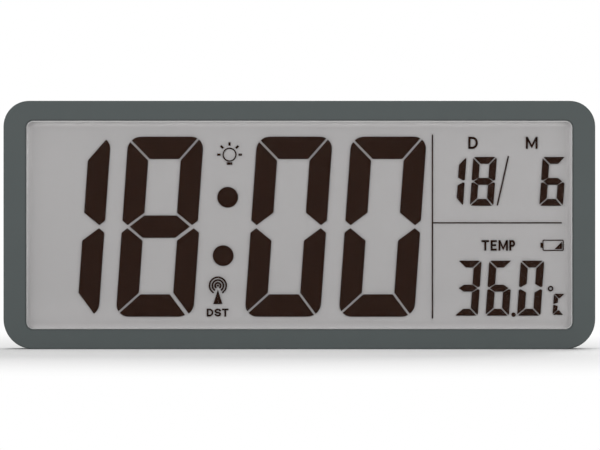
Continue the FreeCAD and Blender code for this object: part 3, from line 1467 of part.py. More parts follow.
def light_key():
    """The long key in the top wall, the small board under it and the board's switch."""
    half, deep = "light_key_width / 2", "light_key_depth / 2"
    spans = (f"-{half}", half), (f"light_key_y - {deep}", f"light_key_y + {deep}")
    flange_top = "top_inside - key_flange_play"
    cap = block(*spans, (flange_top, "case_height - light_key_sink"), "key_cap")
    flange_low = flange_top + " - key_flange_thick"
    wide = (f"-{half} - key_flange", f"{half} + key_flange")
    thick = (f"light_key_y - {deep} - key_flange / 2", f"light_key_y + {deep} + key_flange / 2")
    flange = block(wide, thick, (flange_low, flange_top), "key_flange")
    stem_low = "light_switch_top + key_press_gap"
    stem = rod(UP, "0", "light_key_y", stem_low, "key_stem_radius", f"({flange_low}) - ({stem_low})")
    keep(join([cap, flange, stem], "light_button"), "light_button")
    x = ("-light_board_width / 2", "light_board_width / 2")
    y = ("light_key_y - light_board_depth / 2", "light_key_y + light_board_depth / 2")
    plate = block(x, y, ("light_board_z", "light_board_top"), "light_plate")
    keep(plate, "light_key_board")
    half = "key_switch_side / 2"
    case_top = "light_board_top + key_switch_height"
    deep = (f"light_key_y - {half}", f"light_key_y + {half}")
    case = block((f"-{half}", half), deep, ("light_board_top", case_top))
    plunger = rod(UP, "0", "light_key_y", case_top, "key_plunger_radius", "key_plunger_height")
    keep(join([case, plunger], "light_key_switch"), "light_key_switch")


# Build every sub-part, check it and write it

front_shell()
rear_cover()
display_window()
display_panes()
lamp_strip()
display_holder()
zebra_strips()
time_digits()
time_colon()
date_digits()
temperature_digits()
display_rules()
flat_piece("display_symbols", lamp_symbol() + radio_symbol() + charge_symbol())
screws()
main_board_parts()
radio_antenna()
buzzer_and_sensor()
battery_bay()
battery_door()
table_stand()
stand_fittings()
for key_name, (key_x, _) in zip(KEY_NAMES, REAR_KEYS):
    rear_key(key_name, key_x)
reset_key()
light_key()
doc.recompute()

for item in doc.Objects:
    if "Invalid" in item.State or "Error" in item.State:
        raise RuntimeError(item.Label + " failed")
for item in nodes:
    if item.Shape.isNull() or not item.Shape.isValid():
        raise RuntimeError(item.Label + " has no valid shape")

os.makedirs("parts", exist_ok=True)
for item in nodes:
    item.Shape.exportStep("parts/" + item.Label + ".step")
    print(item.Label, len(item.Shape.Solids), round(item.Shape.Volume, 1))
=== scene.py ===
import json
import math

import bpy
import numpy as np
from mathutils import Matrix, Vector


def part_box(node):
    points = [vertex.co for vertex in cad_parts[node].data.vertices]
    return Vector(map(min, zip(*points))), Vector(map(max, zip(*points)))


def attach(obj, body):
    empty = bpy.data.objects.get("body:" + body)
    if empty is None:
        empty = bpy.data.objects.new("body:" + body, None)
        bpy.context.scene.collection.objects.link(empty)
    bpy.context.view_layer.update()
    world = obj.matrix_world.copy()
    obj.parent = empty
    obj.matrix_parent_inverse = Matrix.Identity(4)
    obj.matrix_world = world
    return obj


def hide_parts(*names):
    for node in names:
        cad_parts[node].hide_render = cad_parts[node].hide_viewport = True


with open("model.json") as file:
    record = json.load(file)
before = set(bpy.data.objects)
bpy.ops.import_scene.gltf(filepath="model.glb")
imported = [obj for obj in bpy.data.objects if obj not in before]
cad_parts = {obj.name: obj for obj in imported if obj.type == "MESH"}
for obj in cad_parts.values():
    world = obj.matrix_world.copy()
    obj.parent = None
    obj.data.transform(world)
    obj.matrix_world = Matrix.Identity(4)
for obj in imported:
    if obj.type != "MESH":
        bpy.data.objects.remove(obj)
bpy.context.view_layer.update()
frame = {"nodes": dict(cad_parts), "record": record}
NODES = frame["nodes"]
MM = 0.001

# Places of the case, its window and its figures, read from the frame

CASE_LOW, CASE_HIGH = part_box("front_shell")
WINDOW_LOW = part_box("display_window")[0]
INK_LOW, INK_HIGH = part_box("time_digits")
CASE_WIDTH = CASE_HIGH.x - CASE_LOW.x
CASE_HEIGHT = CASE_HIGH.z - CASE_LOW.z
FRONT_Y = CASE_LOW.y
REAR_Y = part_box("rear_cover")[1].y

# The bezel's opening: how far it keeps from each side of the case, and its corner radius

OPENING_SIDE = 14.2 * MM
OPENING_TOP = 12.4 * MM
OPENING_BASE = 12.5 * MM
OPENING_CORNER = 4.4 * MM

# The photograph's frame: millimetres to a pixel at the front face, and the case's place in it

PHOTO_WIDTH_PX = 600
PHOTO_HEIGHT_PX = 450
CASE_LEFT_PX = 3.4
CASE_RIGHT_PX = 595.3
CASE_FOOT_PX = 349.2
METRES_PER_PX = CASE_WIDTH / (CASE_RIGHT_PX - CASE_LEFT_PX)
CASE_MIDDLE_PX = (CASE_LEFT_PX + CASE_RIGHT_PX) / 2


def photo_x(pixel):
    """The place across the display of a pixel column."""
    return (pixel - CASE_MIDDLE_PX) * METRES_PER_PX


def photo_z(pixel):
    """The height on the display of a pixel row."""
    return (CASE_FOOT_PX - pixel) * METRES_PER_PX


def linear(red, green, blue):
    """A colour given in the photograph's values, 0 to 255, as the shader wants it."""
    shares = [value / 255 for value in (red, green, blue)]
    return tuple(s / 12.92 if s <= 0.04045 else ((s + 0.055) / 1.055) ** 2.4 for s in shares) + (1.0,)


# Shader groups, each built once and used by several finishes

FINE_SHARE = 0.6
SLOW_SHARE = 0.4
CLOUDS = 22.0
ROUGH_SWING = 0.12
WEAR_CUT = 0.52
LINE_STRETCH = (0.04, 1.0, 1.0)


def new_group(name, inputs, outputs):
    """An empty node group with number or colour sockets and its two end nodes."""
    tree = bpy.data.node_groups.new(name, "ShaderNodeTree")
    for label, kind, default in inputs:
        socket = tree.interface.new_socket(label, in_out="INPUT", socket_type=kind)
        socket.default_value = default
    for label, kind in outputs:
        tree.interface.new_socket(label, in_out="OUTPUT", socket_type=kind)
    start, end = tree.nodes.new("NodeGroupInput"), tree.nodes.new("NodeGroupOutput")
    return tree, start, end


def add(tree, kind, **settings):
    """A node of one kind with its properties set by name."""
    node = tree.nodes.new(kind)
    for name, value in settings.items():
        setattr(node, name, value)
    return node


def wire(tree, source, target):
    """Joins an output socket to an input socket."""
    tree.links.new(source, target)


def feed(tree, socket, value):
    """Gives a socket another node's output or a plain value."""
    if isinstance(value, bpy.types.NodeSocket):
        wire(tree, value, socket)
    else:
        socket.default_value = value


def set_sockets(node, **values):
    """Plain values for a node's input sockets, an underscore in a name standing for a space."""
    for name, value in values.items():
        node.inputs[name.replace("_", " ")].default_value = value
    return node


def object_place(tree):
    """The place on the object, in metres."""
    return add(tree, "ShaderNodeTexCoord").outputs["Object"]


def place_parts(tree):
    """The place on the object as its X, Y and Z sockets."""
    parts = add(tree, "ShaderNodeSeparateXYZ")
    wire(tree, object_place(tree), parts.inputs[0])
    return parts.outputs


def blend_colour(tree, factor, first, second):
    """A colour mix whose factor and two colours are sockets or plain values."""
    node = add(tree, "ShaderNodeMix", data_type="RGBA")
    for socket, value in zip((node.inputs[0], node.inputs[6], node.inputs[7]), (factor, first, second)):
        feed(tree, socket, value)
    return node.outputs[2]


def sums(tree, operation, first, second):
    """A math node on sockets or plain numbers."""
    node = add(tree, "ShaderNodeMath", operation=operation)
    for socket, value in zip(node.inputs, (first, second)):
        feed(tree, socket, value)
    return node.outputs[0]


def noise(tree, scale, detail, vector):
    """A noise value at a number of waves to the metre."""
    node = set_sockets(add(tree, "ShaderNodeTexNoise"), Detail=detail)
    feed(tree, node.inputs["Scale"], scale)
    wire(tree, vector, node.inputs["Vector"])
    return node.outputs["Fac"]


def scaled_colour(tree, colour, gain):
    """A colour socket times a number socket."""
    node = add(tree, "ShaderNodeVectorMath", operation="SCALE")
    wire(tree, colour, node.inputs[0])
    wire(tree, gain, node.inputs["Scale"])
    return node.outputs[0]


def spread(tree, value, low, high, start=0.0, end=1.0, **settings):
    """Maps a value that runs from start to end onto the span from low to high."""
    node = add(tree, "ShaderNodeMapRange", **settings)
    set_sockets(node, From_Min=start, From_Max=end, To_Min=low, To_Max=high)
    wire(tree, value, node.inputs["Value"])
    return node.outputs["Result"]


def toned(colour, share, added=0.0):
    """A colour times a share, plus a little of every part."""
    return tuple(min(1.0, part * share + added) for part in colour[:3]) + (1.0,)


def moulded_grain():
    """Spark-eroded plastic: fine pits, slow colour drift and roughness that follows both."""
    inputs = [
        ("Colour", "NodeSocketColor", (0.1, 0.1, 0.1, 1)),
        ("Grain", "NodeSocketFloat", 2600.0),
        ("Drift", "NodeSocketFloat", 0.05),
        ("Roughness", "NodeSocketFloat", 0.5),
    ]
    outputs = [
        ("Colour", "NodeSocketColor"),
        ("Roughness", "NodeSocketFloat"),
        ("Height", "NodeSocketFloat"),
    ]
    tree, start, end = new_group("moulded_grain", inputs, outputs)
    place = object_place(tree)
    pits = noise(tree, start.outputs["Grain"], 3.0, place)
    slow = noise(tree, CLOUDS, 2.0, place)
    fine_part = sums(tree, "MULTIPLY", pits, FINE_SHARE)
    mixed = sums(tree, "ADD", fine_part, sums(tree, "MULTIPLY", slow, SLOW_SHARE))
    swing = sums(tree, "SUBTRACT", mixed, 0.5)
    gain = sums(tree, "ADD", sums(tree, "MULTIPLY", swing, start.outputs["Drift"]), 1.0)
    wire(tree, scaled_colour(tree, start.outputs["Colour"], gain), end.inputs["Colour"])
    rough = sums(tree, "ADD", start.outputs["Roughness"], sums(tree, "MULTIPLY", swing, ROUGH_SWING))
    wire(tree, rough, end.inputs["Roughness"])
    wire(tree, pits, end.inputs["Height"])
    return tree


def handling_wear():
    """A mask of faint rubbed patches and dust: the part of a noise above a cut."""
    inputs = [("Scale", "NodeSocketFloat", 60.0), ("Amount", "NodeSocketFloat", 0.2)]
    tree, start, end = new_group("handling_wear", inputs, [("Mask", "NodeSocketFloat")])
    cloud = noise(tree, start.outputs["Scale"], 5.0, object_place(tree))
    cut = sums(tree, "MAXIMUM", sums(tree, "SUBTRACT", cloud, WEAR_CUT), 0.0)
    wire(tree, sums(tree, "MULTIPLY", cut, start.outputs["Amount"]), end.inputs["Mask"])
    return tree


def drawn_lines():
    """Fine lines along X, as on drawn wire, rolled sheet and turned screws."""
    inputs = [("Scale", "NodeSocketFloat", 900.0)]
    tree, start, end = new_group("drawn_lines", inputs, [("Value", "NodeSocketFloat")])
    stretch = set_sockets(add(tree, "ShaderNodeMapping"), Scale=LINE_STRETCH)
    wire(tree, object_place(tree), stretch.inputs["Vector"])
    lines = noise(tree, start.outputs["Scale"], 2.0, stretch.outputs["Vector"])
    wire(tree, lines, end.inputs["Value"])
    return tree


def opening_distance():
    """Metres from the rounded edge of the opening: positive on the bezel, negative inside it."""
    tree, start, end = new_group("opening_distance", [], [("Distance", "NodeSocketFloat")])
    parts = place_parts(tree)
    half_wide = CASE_WIDTH / 2 - OPENING_SIDE - OPENING_CORNER
    half_tall = (CASE_HEIGHT - OPENING_TOP - OPENING_BASE) / 2 - OPENING_CORNER
    middle = (CASE_LOW.z + OPENING_BASE + CASE_HIGH.z - OPENING_TOP) / 2
    run = sums(tree, "SUBTRACT", sums(tree, "ABSOLUTE", parts["X"], 0.0), half_wide)
    lifted = sums(tree, "SUBTRACT", parts["Z"], middle)
    rise = sums(tree, "SUBTRACT", sums(tree, "ABSOLUTE", lifted, 0.0), half_tall)
    out_x, out_z = sums(tree, "MAXIMUM", run, 0.0), sums(tree, "MAXIMUM", rise, 0.0)
    square_x, square_z = sums(tree, "MULTIPLY", out_x, out_x), sums(tree, "MULTIPLY", out_z, out_z)
    squares = sums(tree, "ADD", square_x, square_z)
    outside = sums(tree, "POWER", squares, 0.5)
    inside = sums(tree, "MINIMUM", sums(tree, "MAXIMUM", run, rise), 0.0)
    total = sums(tree, "SUBTRACT", sums(tree, "ADD", outside, inside), OPENING_CORNER)
    wire(tree, total, end.inputs["Distance"])
    return tree


GRAIN, WEAR, LINES, RIM = moulded_grain(), handling_wear(), drawn_lines(), opening_distance()


# Finishes: waves are to the metre, tones are shares of the colour

RUBBED_PATCHES = 48.0
RUBBED_TONE = (1.35, 0.01)
TARNISH_SPOTS = 180.0
TARNISH_AMOUNT = 1.6
TARNISH_TONE = 0.72
GRAIN_STRENGTH = 0.35
LINE_STRENGTH = 0.15
LINE_DEPTH = 0.00002
PLASTIC_IOR = 1.46
MIRRORED = (0.95, 0.96, 0.97, 1.0)
SMEARS = 35.0
MIRROR_POWER = 5.0
SLEEVE_HALF = 15.0 * MM
SLEEVE_METAL = 0.6
TRACKS = 260.0
TRACK_STEP = (0.2, 0.00004)
SOLDER_MASK = (0.012, 0.085, 0.035, 1)
PALER_MASK = (0.014, 0.1, 0.042, 1)
MASKED_TRACK = (0.03, 0.17, 0.07, 1)

# Painted shade: a darker line on the bezel's front where it breaks into its opening: depth, reach and
# tone
SHADE_LINE_DEPTH = 1.2 * MM
SHADE_LINE_REACH = (0.4 * MM, 1.0 * MM)
SHADE_LINE_TONE = 0.62

# Painted light: the display's ground is a little brighter near its rim, more so at the top, and towards
# its foot
PAINTED_LIGHT_RIM_REACH = (-0.8 * MM, -4.5 * MM)
PAINTED_LIGHT_RIM_FALL = 1.6
PAINTED_LIGHT_RIM_LEVELS = (0.34, 0.85)
PAINTED_LIGHT_FOOT = 1.12
PAINTED_LIGHT_FOOT_REACH = 22.0 * MM


def new_finish(name):
    """A material with its Principled shader."""
    finish = bpy.data.materials.new(name)
    finish.use_nodes = True
    tree = finish.node_tree
    return finish, tree, tree.nodes["Principled BSDF"]


def group_node(tree, group, **values):
    """A shader group placed in a material with its own values."""
    return set_sockets(add(tree, "ShaderNodeGroup", node_tree=group), **values)


def bump(tree, height, strength, distance):
    """A bump node on a height value."""
    node = set_sockets(add(tree, "ShaderNodeBump"), Strength=strength, Distance=distance)
    wire(tree, height, node.inputs["Height"])
    return node.outputs["Normal"]


def near_rim(tree, first, last):
    """1 at the first distance from the opening's edge, falling evenly to 0 at the last."""
    return spread(tree, group_node(tree, RIM).outputs["Distance"], 1.0, 0.0, first, last)


def skin_of(finish):
    """A finish's node tree, its shader and the colour that feeds it."""
    shader = finish.node_tree.nodes["Principled BSDF"]
    return finish.node_tree, shader, shader.inputs["Base Color"].links[0].from_socket


def plastic(name, colour, roughness=0.5, grain=2600.0, drift=0.08, depth=0.00006, wear=0.25, shine=0.4):
    """Moulded plastic or rubber with its grain, drift of colour and faint wear."""
    finish, tree, shader = new_finish(name)
    skin = group_node(tree, GRAIN, Colour=colour, Grain=grain, Drift=drift, Roughness=roughness)
    rubbed = group_node(tree, WEAR, Scale=RUBBED_PATCHES, Amount=wear).outputs["Mask"]
    pale = toned(colour, *RUBBED_TONE)
    wire(tree, blend_colour(tree, rubbed, skin.outputs["Colour"], pale), shader.inputs["Base Color"])
    wire(tree, skin.outputs["Roughness"], shader.inputs["Roughness"])
    wire(tree, bump(tree, skin.outputs["Height"], GRAIN_STRENGTH, depth), shader.inputs["Normal"])
    set_sockets(shader, IOR=PLASTIC_IOR, Specular_IOR_Level=shine)
    return finish


def shell_with_painted_shade(name, colour, roughness):
    """The shell's plastic, with painted shade: a little darker along the break of the opening's edge."""
    finish = plastic(name, colour, roughness, shine=0.2)
    tree, shader, skin = skin_of(finish)
    # Painted shade: the bezel's front is darkened in a thin line along the opening's edge
    on_front = sums(tree, "LESS_THAN", place_parts(tree)["Y"], FRONT_Y + SHADE_LINE_DEPTH)
    line = sums(tree, "MULTIPLY", near_rim(tree, *SHADE_LINE_REACH), on_front)
    darker = toned(colour, SHADE_LINE_TONE)
    wire(tree, blend_colour(tree, line, skin, darker), shader.inputs["Base Color"])
    return finish


def cell_wrap(name, colour, band):
    """A cell's printed sleeve with a metallic band towards each end."""
    finish = plastic(name, colour, 0.25, grain=500.0, depth=0.00001)
    tree, shader, skin = skin_of(finish)
    away = sums(tree, "ABSOLUTE", place_parts(tree)["X"], 0.0)
    ends = sums(tree, "GREATER_THAN", away, SLEEVE_HALF)
    wire(tree, blend_colour(tree, ends, skin, band), shader.inputs["Base Color"])
    wire(tree, sums(tree, "MULTIPLY", ends, SLEEVE_METAL), shader.inputs["Metallic"])
    return finish


def metal(name, colour, roughness=0.3, lines=900.0):
    """Drawn, rolled or plated metal with fine lines and a little tarnish."""
    finish, tree, shader = new_finish(name)
    value = group_node(tree, LINES, Scale=lines).outputs["Value"]
    stain = group_node(tree, WEAR, Scale=TARNISH_SPOTS, Amount=TARNISH_AMOUNT).outputs["Mask"]
    dull = toned(colour, TARNISH_TONE)
    wire(tree, blend_colour(tree, stain, colour, dull), shader.inputs["Base Color"])
    wire(tree, spread(tree, value, roughness * 0.7, roughness * 1.4), shader.inputs["Roughness"])
    wire(tree, bump(tree, value, LINE_STRENGTH, LINE_DEPTH), shader.inputs["Normal"])
    set_sockets(shader, Metallic=1.0)
    return finish


def ink(name, colour):
    """Driven liquid crystal: dark brown, very slightly uneven, with no shine of its own."""
    finish, tree, shader = new_finish(name)
    skin = group_node(tree, GRAIN, Colour=colour, Grain=900.0, Drift=0.10, Roughness=0.85)
    wire(tree, skin.outputs["Colour"], shader.inputs["Base Color"])
    wire(tree, skin.outputs["Roughness"], shader.inputs["Roughness"])
    set_sockets(shader, Specular_IOR_Level=0.0)
    return finish


def display_ground_painted_light(name, colour):
    """The grey reflective film behind the glass: fine pearl grain, and painted light that makes it a
    little brighter along its rim and towards its foot.
    """
    finish, tree, shader = new_finish(name)
    skin = group_node(tree, GRAIN, Colour=colour, Grain=5200.0, Drift=0.05, Roughness=0.8)
    # Painted light: the colour is raised near the rim, more at the top, and towards the foot
    height = place_parts(tree)["Z"]
    level = spread(tree, height, *PAINTED_LIGHT_RIM_LEVELS, CASE_LOW.z, CASE_HIGH.z)
    painted_rim_light = sums(tree, "MULTIPLY", sums(tree, "POWER", near_rim(tree, *PAINTED_LIGHT_RIM_REACH), PAINTED_LIGHT_RIM_FALL), level)
    foot = CASE_LOW.z + OPENING_BASE
    gain = sums(tree, "ADD", painted_rim_light, spread(tree, height, PAINTED_LIGHT_FOOT, 1.0, foot, foot + PAINTED_LIGHT_FOOT_REACH))
    wire(tree, scaled_colour(tree, skin.outputs["Colour"], gain), shader.inputs["Base Color"])
    wire(tree, skin.outputs["Roughness"], shader.inputs["Roughness"])
    set_sockets(shader, Specular_IOR_Level=0.05)
    return finish


def clear_pane(name, tint, square_on, grazing, roughness):
    """A clear pane: light passes straight through, and a share that grows with the slope is mirrored."""
    finish, tree, shader = new_finish(name)
    set_sockets(shader, Metallic=1.0, Base_Color=MIRRORED)
    smear = noise(tree, SMEARS, 4.0, object_place(tree))
    wire(tree, spread(tree, smear, roughness * 0.6, roughness * 1.5), shader.inputs["Roughness"])
    clear = set_sockets(add(tree, "ShaderNodeBsdfTransparent"), Color=tint)
    slope = set_sockets(add(tree, "ShaderNodeLayerWeight"), Blend=0.5)
    share = sums(tree, "POWER", slope.outputs["Facing"], MIRROR_POWER)
    mixed = add(tree, "ShaderNodeMixShader")
    wire(tree, spread(tree, share, square_on, grazing), mixed.inputs["Fac"])
    wire(tree, clear.outputs["BSDF"], mixed.inputs[1])
    wire(tree, shader.outputs["BSDF"], mixed.inputs[2])
    wire(tree, mixed.outputs["Shader"], tree.nodes["Material Output"].inputs["Surface"])
    return finish


def circuit_board(name):
    """Green solder mask with copper tracks showing through as paler lines and a screen of dots."""
    finish, tree, shader = new_finish(name)
    place = object_place(tree)
    turn = set_sockets(add(tree, "ShaderNodeMapping"), Rotation=(math.pi / 2, 0.0, 0.0))
    wire(tree, place, turn.inputs["Vector"])
    bricks = add(tree, "ShaderNodeTexBrick", offset=0.37)
    set_sockets(bricks, Scale=TRACKS, Mortar_Size=0.03)
    set_sockets(bricks, Color1=SOLDER_MASK, Color2=PALER_MASK, Mortar=MASKED_TRACK)
    wire(tree, turn.outputs["Vector"], bricks.inputs["Vector"])
    wire(tree, bricks.outputs["Color"], shader.inputs["Base Color"])
    wire(tree, spread(tree, noise(tree, 500.0, 3.0, place), 0.25, 0.4), shader.inputs["Roughness"])
    wire(tree, bump(tree, bricks.outputs["Fac"], *TRACK_STEP), shader.inputs["Normal"])
    return finish


SHELL_COLOUR = linear(73, 79, 79)
GLASS_GREY = linear(169, 166, 167)
SEGMENT_BROWN = linear(40, 25, 19)

FINISHES = {
    "shell_plastic": shell_with_painted_shade("slate_shell", SHELL_COLOUR, 0.55),
    "key_plastic": plastic("slate_keys", linear(74, 80, 81), 0.45, grain=3400.0, depth=0.00003),
    "window_clear": clear_pane("coated_window", (0.996, 0.998, 0.997, 1), 0.0015, 0.9, 0.06),
    "black_foam": plastic("black_foam", linear(24, 24, 25), 0.9, grain=1800.0, depth=0.0002),
    "clear_film": clear_pane("front_film", (0.999, 0.999, 0.999, 1), 0.0004, 0.03, 0.3),
    "clear_glass": clear_pane("display_glass", (0.999, 1.0, 0.999, 1), 0.0004, 0.03, 0.03),
    "seal_resin": plastic("seal_resin", linear(120, 119, 118), 0.6),
    "reflective_film": display_ground_painted_light("display_ground_painted_light", GLASS_GREY),
    "dark_segment": ink("driven_segments", SEGMENT_BROWN),
    "guide_acrylic": plastic("light_guide", linear(225, 230, 230), 0.15),
    "white_film": plastic("white_film", linear(232, 232, 230), 0.5),
    "green_board": circuit_board("green_board"),
    "lamp_white": plastic("lamp_case", linear(236, 232, 205), 0.3),
    "holder_plastic": plastic("natural_plastic", linear(214, 213, 208), 0.5),
    "zebra_rubber": plastic("zebra_rubber", linear(150, 110, 125), 0.7, grain=6000.0),
    "black_resin": plastic("black_resin", linear(28, 28, 29), 0.3),
    "tin_metal": metal("tin_plate", (0.62, 0.62, 0.62, 1), 0.32),
    "capacitor_sleeve": plastic("capacitor_sleeve", linear(34, 38, 70), 0.3),
    "switch_black": plastic("switch_black", linear(32, 32, 33), 0.45),
    "ferrite_grey": plastic("ferrite", linear(58, 58, 60), 0.6, grain=1200.0, depth=0.0001),
    "copper_wire": metal("enamelled_copper", (0.62, 0.27, 0.12, 1), 0.3, 2400.0),
    "brass_disc": metal("rolled_brass", (0.74, 0.56, 0.24, 1), 0.28),
    "cell_jacket": cell_wrap("cell_jacket", linear(82, 86, 92), linear(176, 177, 178)),
    "nickel_wire": metal("nickel_plate", (0.72, 0.7, 0.66, 1), 0.22),
    "steel_pin": metal("drawn_steel", (0.58, 0.58, 0.59, 1), 0.28),
    "pad_rubber": plastic("pad_rubber", linear(30, 30, 31), 0.8, grain=1500.0, depth=0.0001),
    "black_screw": metal("black_screws", (0.1, 0.1, 0.105, 1), 0.4),
}

for entry in frame["record"]["subparts"]:
    node_mesh = NODES[entry["node"]].data
    if not node_mesh.materials:
        node_mesh.materials.append(None)
    for place_in_mesh in range(len(node_mesh.materials)):
        node_mesh.materials[place_in_mesh] = FINISHES[entry["material_slot"]]


# New pieces


def make_piece(name, points, faces, finish, body="case", smooth=True):
    """A mesh from numpy points in metres and faces of point numbers, riding on a CAD body."""
    mesh = bpy.data.meshes.new(name)
    mesh.from_pydata(points.tolist(), [], faces if isinstance(faces, list) else faces.tolist())
    mesh.update()
    mesh.polygons.foreach_set("use_smooth", [smooth] * len(mesh.polygons))
    mesh.materials.append(finish)
    piece = bpy.data.objects.new(name, mesh)
    bpy.context.scene.collection.objects.link(piece)
    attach(piece, body)
    return piece


def grid_faces(rows, columns, around_rows, around_columns):
    """Four-cornered faces of a grid of points, closed on itself where asked."""
    row = np.arange(rows if around_rows else rows - 1)[:, None]
    column = np.arange(columns if around_columns else columns - 1)[None, :]
    down, right = (row + 1) % rows, (column + 1) % columns
    corners = ((row, column), (down, column), (down, right), (row, right))
    shape = (row.size, column.size)
    return np.stack([np.broadcast_to(r * columns + c, shape).ravel() for r, c in corners], axis=1)


def rounded_frame(half_width, half_height, radius, steps):
    """Points round a rounded rectangle and the outward direction at each.

    A quarter turn of angle a runs round each corner: point = corner centre + radius (cos a, sin a).
    """
    turns, centres = [], []
    for quarter, (sign_x, sign_z) in enumerate(((1, 1), (-1, 1), (-1, -1), (1, -1))):
        angle = np.linspace(0, math.pi / 2, steps) + quarter * math.pi / 2
        turns.append(np.stack([np.cos(angle), np.sin(angle)], axis=1))
        centre = (sign_x * (half_width - radius), sign_z * (half_height - radius))
        centres.append(np.broadcast_to(centre, (steps, 2)))
    outward = np.concatenate(turns)
    return np.concatenate(centres) + radius * outward, outward


def edge_band(name, finish, low, high, radius, profile, steps=24):
    """A strip that follows a rounded rectangle in a plane facing front.

    Point (s, t) = frame point s + outward direction s times profile offset t, at the profile's depth t.
    """
    half_width, half_height = (high[0] - low[0]) / 2, (high[1] - low[1]) / 2
    path, outward = rounded_frame(half_width, half_height, radius, steps)
    offset, depth = np.array(profile).T
    flat = path[:, None, :] + outward[:, None, :] * offset[None, :, None]
    points = np.empty((len(path), len(offset), 3))
    points[..., 0] = flat[..., 0] + (low[0] + high[0]) / 2
    points[..., 2] = flat[..., 1] + (low[1] + high[1]) / 2
    points[..., 1] = depth[None, :]
    faces = grid_faces(len(path), len(offset), True, True)
    return make_piece(name, points.reshape(-1, 3), faces, finish, smooth=False)


def slab(name, finish, low, high, radius, bevel, steps=16):
    """A plate with rounded corners and bevelled rims, facing front.

    Ring j = frame path + outward direction times offset j at depth j, closed by one face at each end.
    """
    path, outward = rounded_frame((high.x - low.x) / 2, (high.z - low.z) / 2, radius, steps)
    offset = np.array([-bevel, 0.0, 0.0, -bevel])
    depth = np.array([low.y, low.y + bevel, high.y - bevel, high.y])
    flat = path[None, :, :] + outward[None, :, :] * offset[:, None, None]
    points = np.empty((len(offset), len(path), 3))
    points[..., 0] = flat[..., 0] + (low.x + high.x) / 2
    points[..., 2] = flat[..., 1] + (low.z + high.z) / 2
    points[..., 1] = depth[:, None]
    faces = grid_faces(len(offset), len(path), False, True).tolist()
    count = len(path)
    faces.append(list(range(count)))
    faces.append(list(range(4 * count - 1, 3 * count - 1, -1)))
    return make_piece(name, points.reshape(-1, 3), faces, finish, smooth=False)


def end_cap(first, sides):
    """Four-cornered faces across a ring: points k and k + 1 meet their partners opposite."""
    step = np.arange(sides // 2 - 1)
    return first + np.stack([step, step + 1, sides - 2 - step, sides - 1 - step], axis=1)


def coil(start, end_x, radius, wire_radius, turns, steps=40, sides=12):
    """A compression spring along X, flat wound and cut square at both ends.

    Centre line: angle w = turns times 2 pi times s. The advance along X is slow over the first and
    last turn and even between. Point = centre + wire radius (cos v times outward, sin v times along X).
    """
    share = np.linspace(0, 1, int(turns * steps))
    angle = share * turns * 2 * math.pi
    ends = 1.0 / turns
    first = np.clip(share / ends, 0, 1)
    between = np.clip((share - ends) / (1 - 2 * ends), 0, 1)
    last = np.clip((share - 1 + ends) / ends, 0, 1)
    closed = 2 * wire_radius
    sign = 1.0 if end_x > start[0] else -1.0
    span = abs(end_x - start[0]) - 2 * wire_radius - 2 * closed
    along = first * closed + between * span + last * closed
    around = np.linspace(0, 2 * math.pi, sides, endpoint=False)
    outward = np.stack([np.zeros_like(angle), np.cos(angle), np.sin(angle)], axis=1)
    middle = radius * outward
    middle[:, 0] = sign * (along + wire_radius)
    ring = np.cos(around)[None, :, None] * outward[:, None, :]
    points = middle[:, None, :] + wire_radius * ring
    points[..., 0] += wire_radius * np.sin(around)[None, :]
    points += np.array(start)[None, None, :]
    tube = grid_faces(len(share), sides, False, True)
    last_ring = (len(share) - 1) * sides
    faces = np.concatenate([tube, end_cap(0, sides), end_cap(last_ring, sides)[:, ::-1]])
    return points.reshape(-1, 3), faces


def joined_piece(name, finish, parts, smooth=True, body="case"):
    """One mesh from several surfaces, each given by its points and faces."""
    shift, points, faces = 0, [], []
    for part_points, part_faces in parts:
        points.append(part_points)
        faces.append(part_faces + shift)
        shift += len(part_points)
    return make_piece(name, np.concatenate(points), np.concatenate(faces), finish, body, smooth)


def bowl(left, right, low, high, steps=14):
    """Half an oval that bulges right, from top to foot: (left + wide cos a, middle + tall sin a)."""
    angle = np.linspace(math.pi / 2, -math.pi / 2, steps)
    middle, tall = (low + high) / 2, (high - low) / 2
    across, up = left + (right - left) * np.cos(angle), middle + tall * np.sin(angle)
    return np.stack([across, up], axis=1).tolist()


def snake(steps=30):
    """The letter S: half an oval open to the right above, one open to the left below."""
    upper = np.linspace(0.12 * math.pi, 1.5 * math.pi, steps)
    lower = np.linspace(0.5 * math.pi, -0.88 * math.pi, steps)
    top = np.stack([0.5 + 0.5 * np.cos(upper), 0.75 + 0.25 * np.sin(upper)], axis=1)
    foot = np.stack([0.5 + 0.5 * np.cos(lower), 0.25 + 0.25 * np.sin(lower)], axis=1)
    return np.concatenate([top, foot]).tolist()


# Strokes of each letter and sign, in shares of its width and height

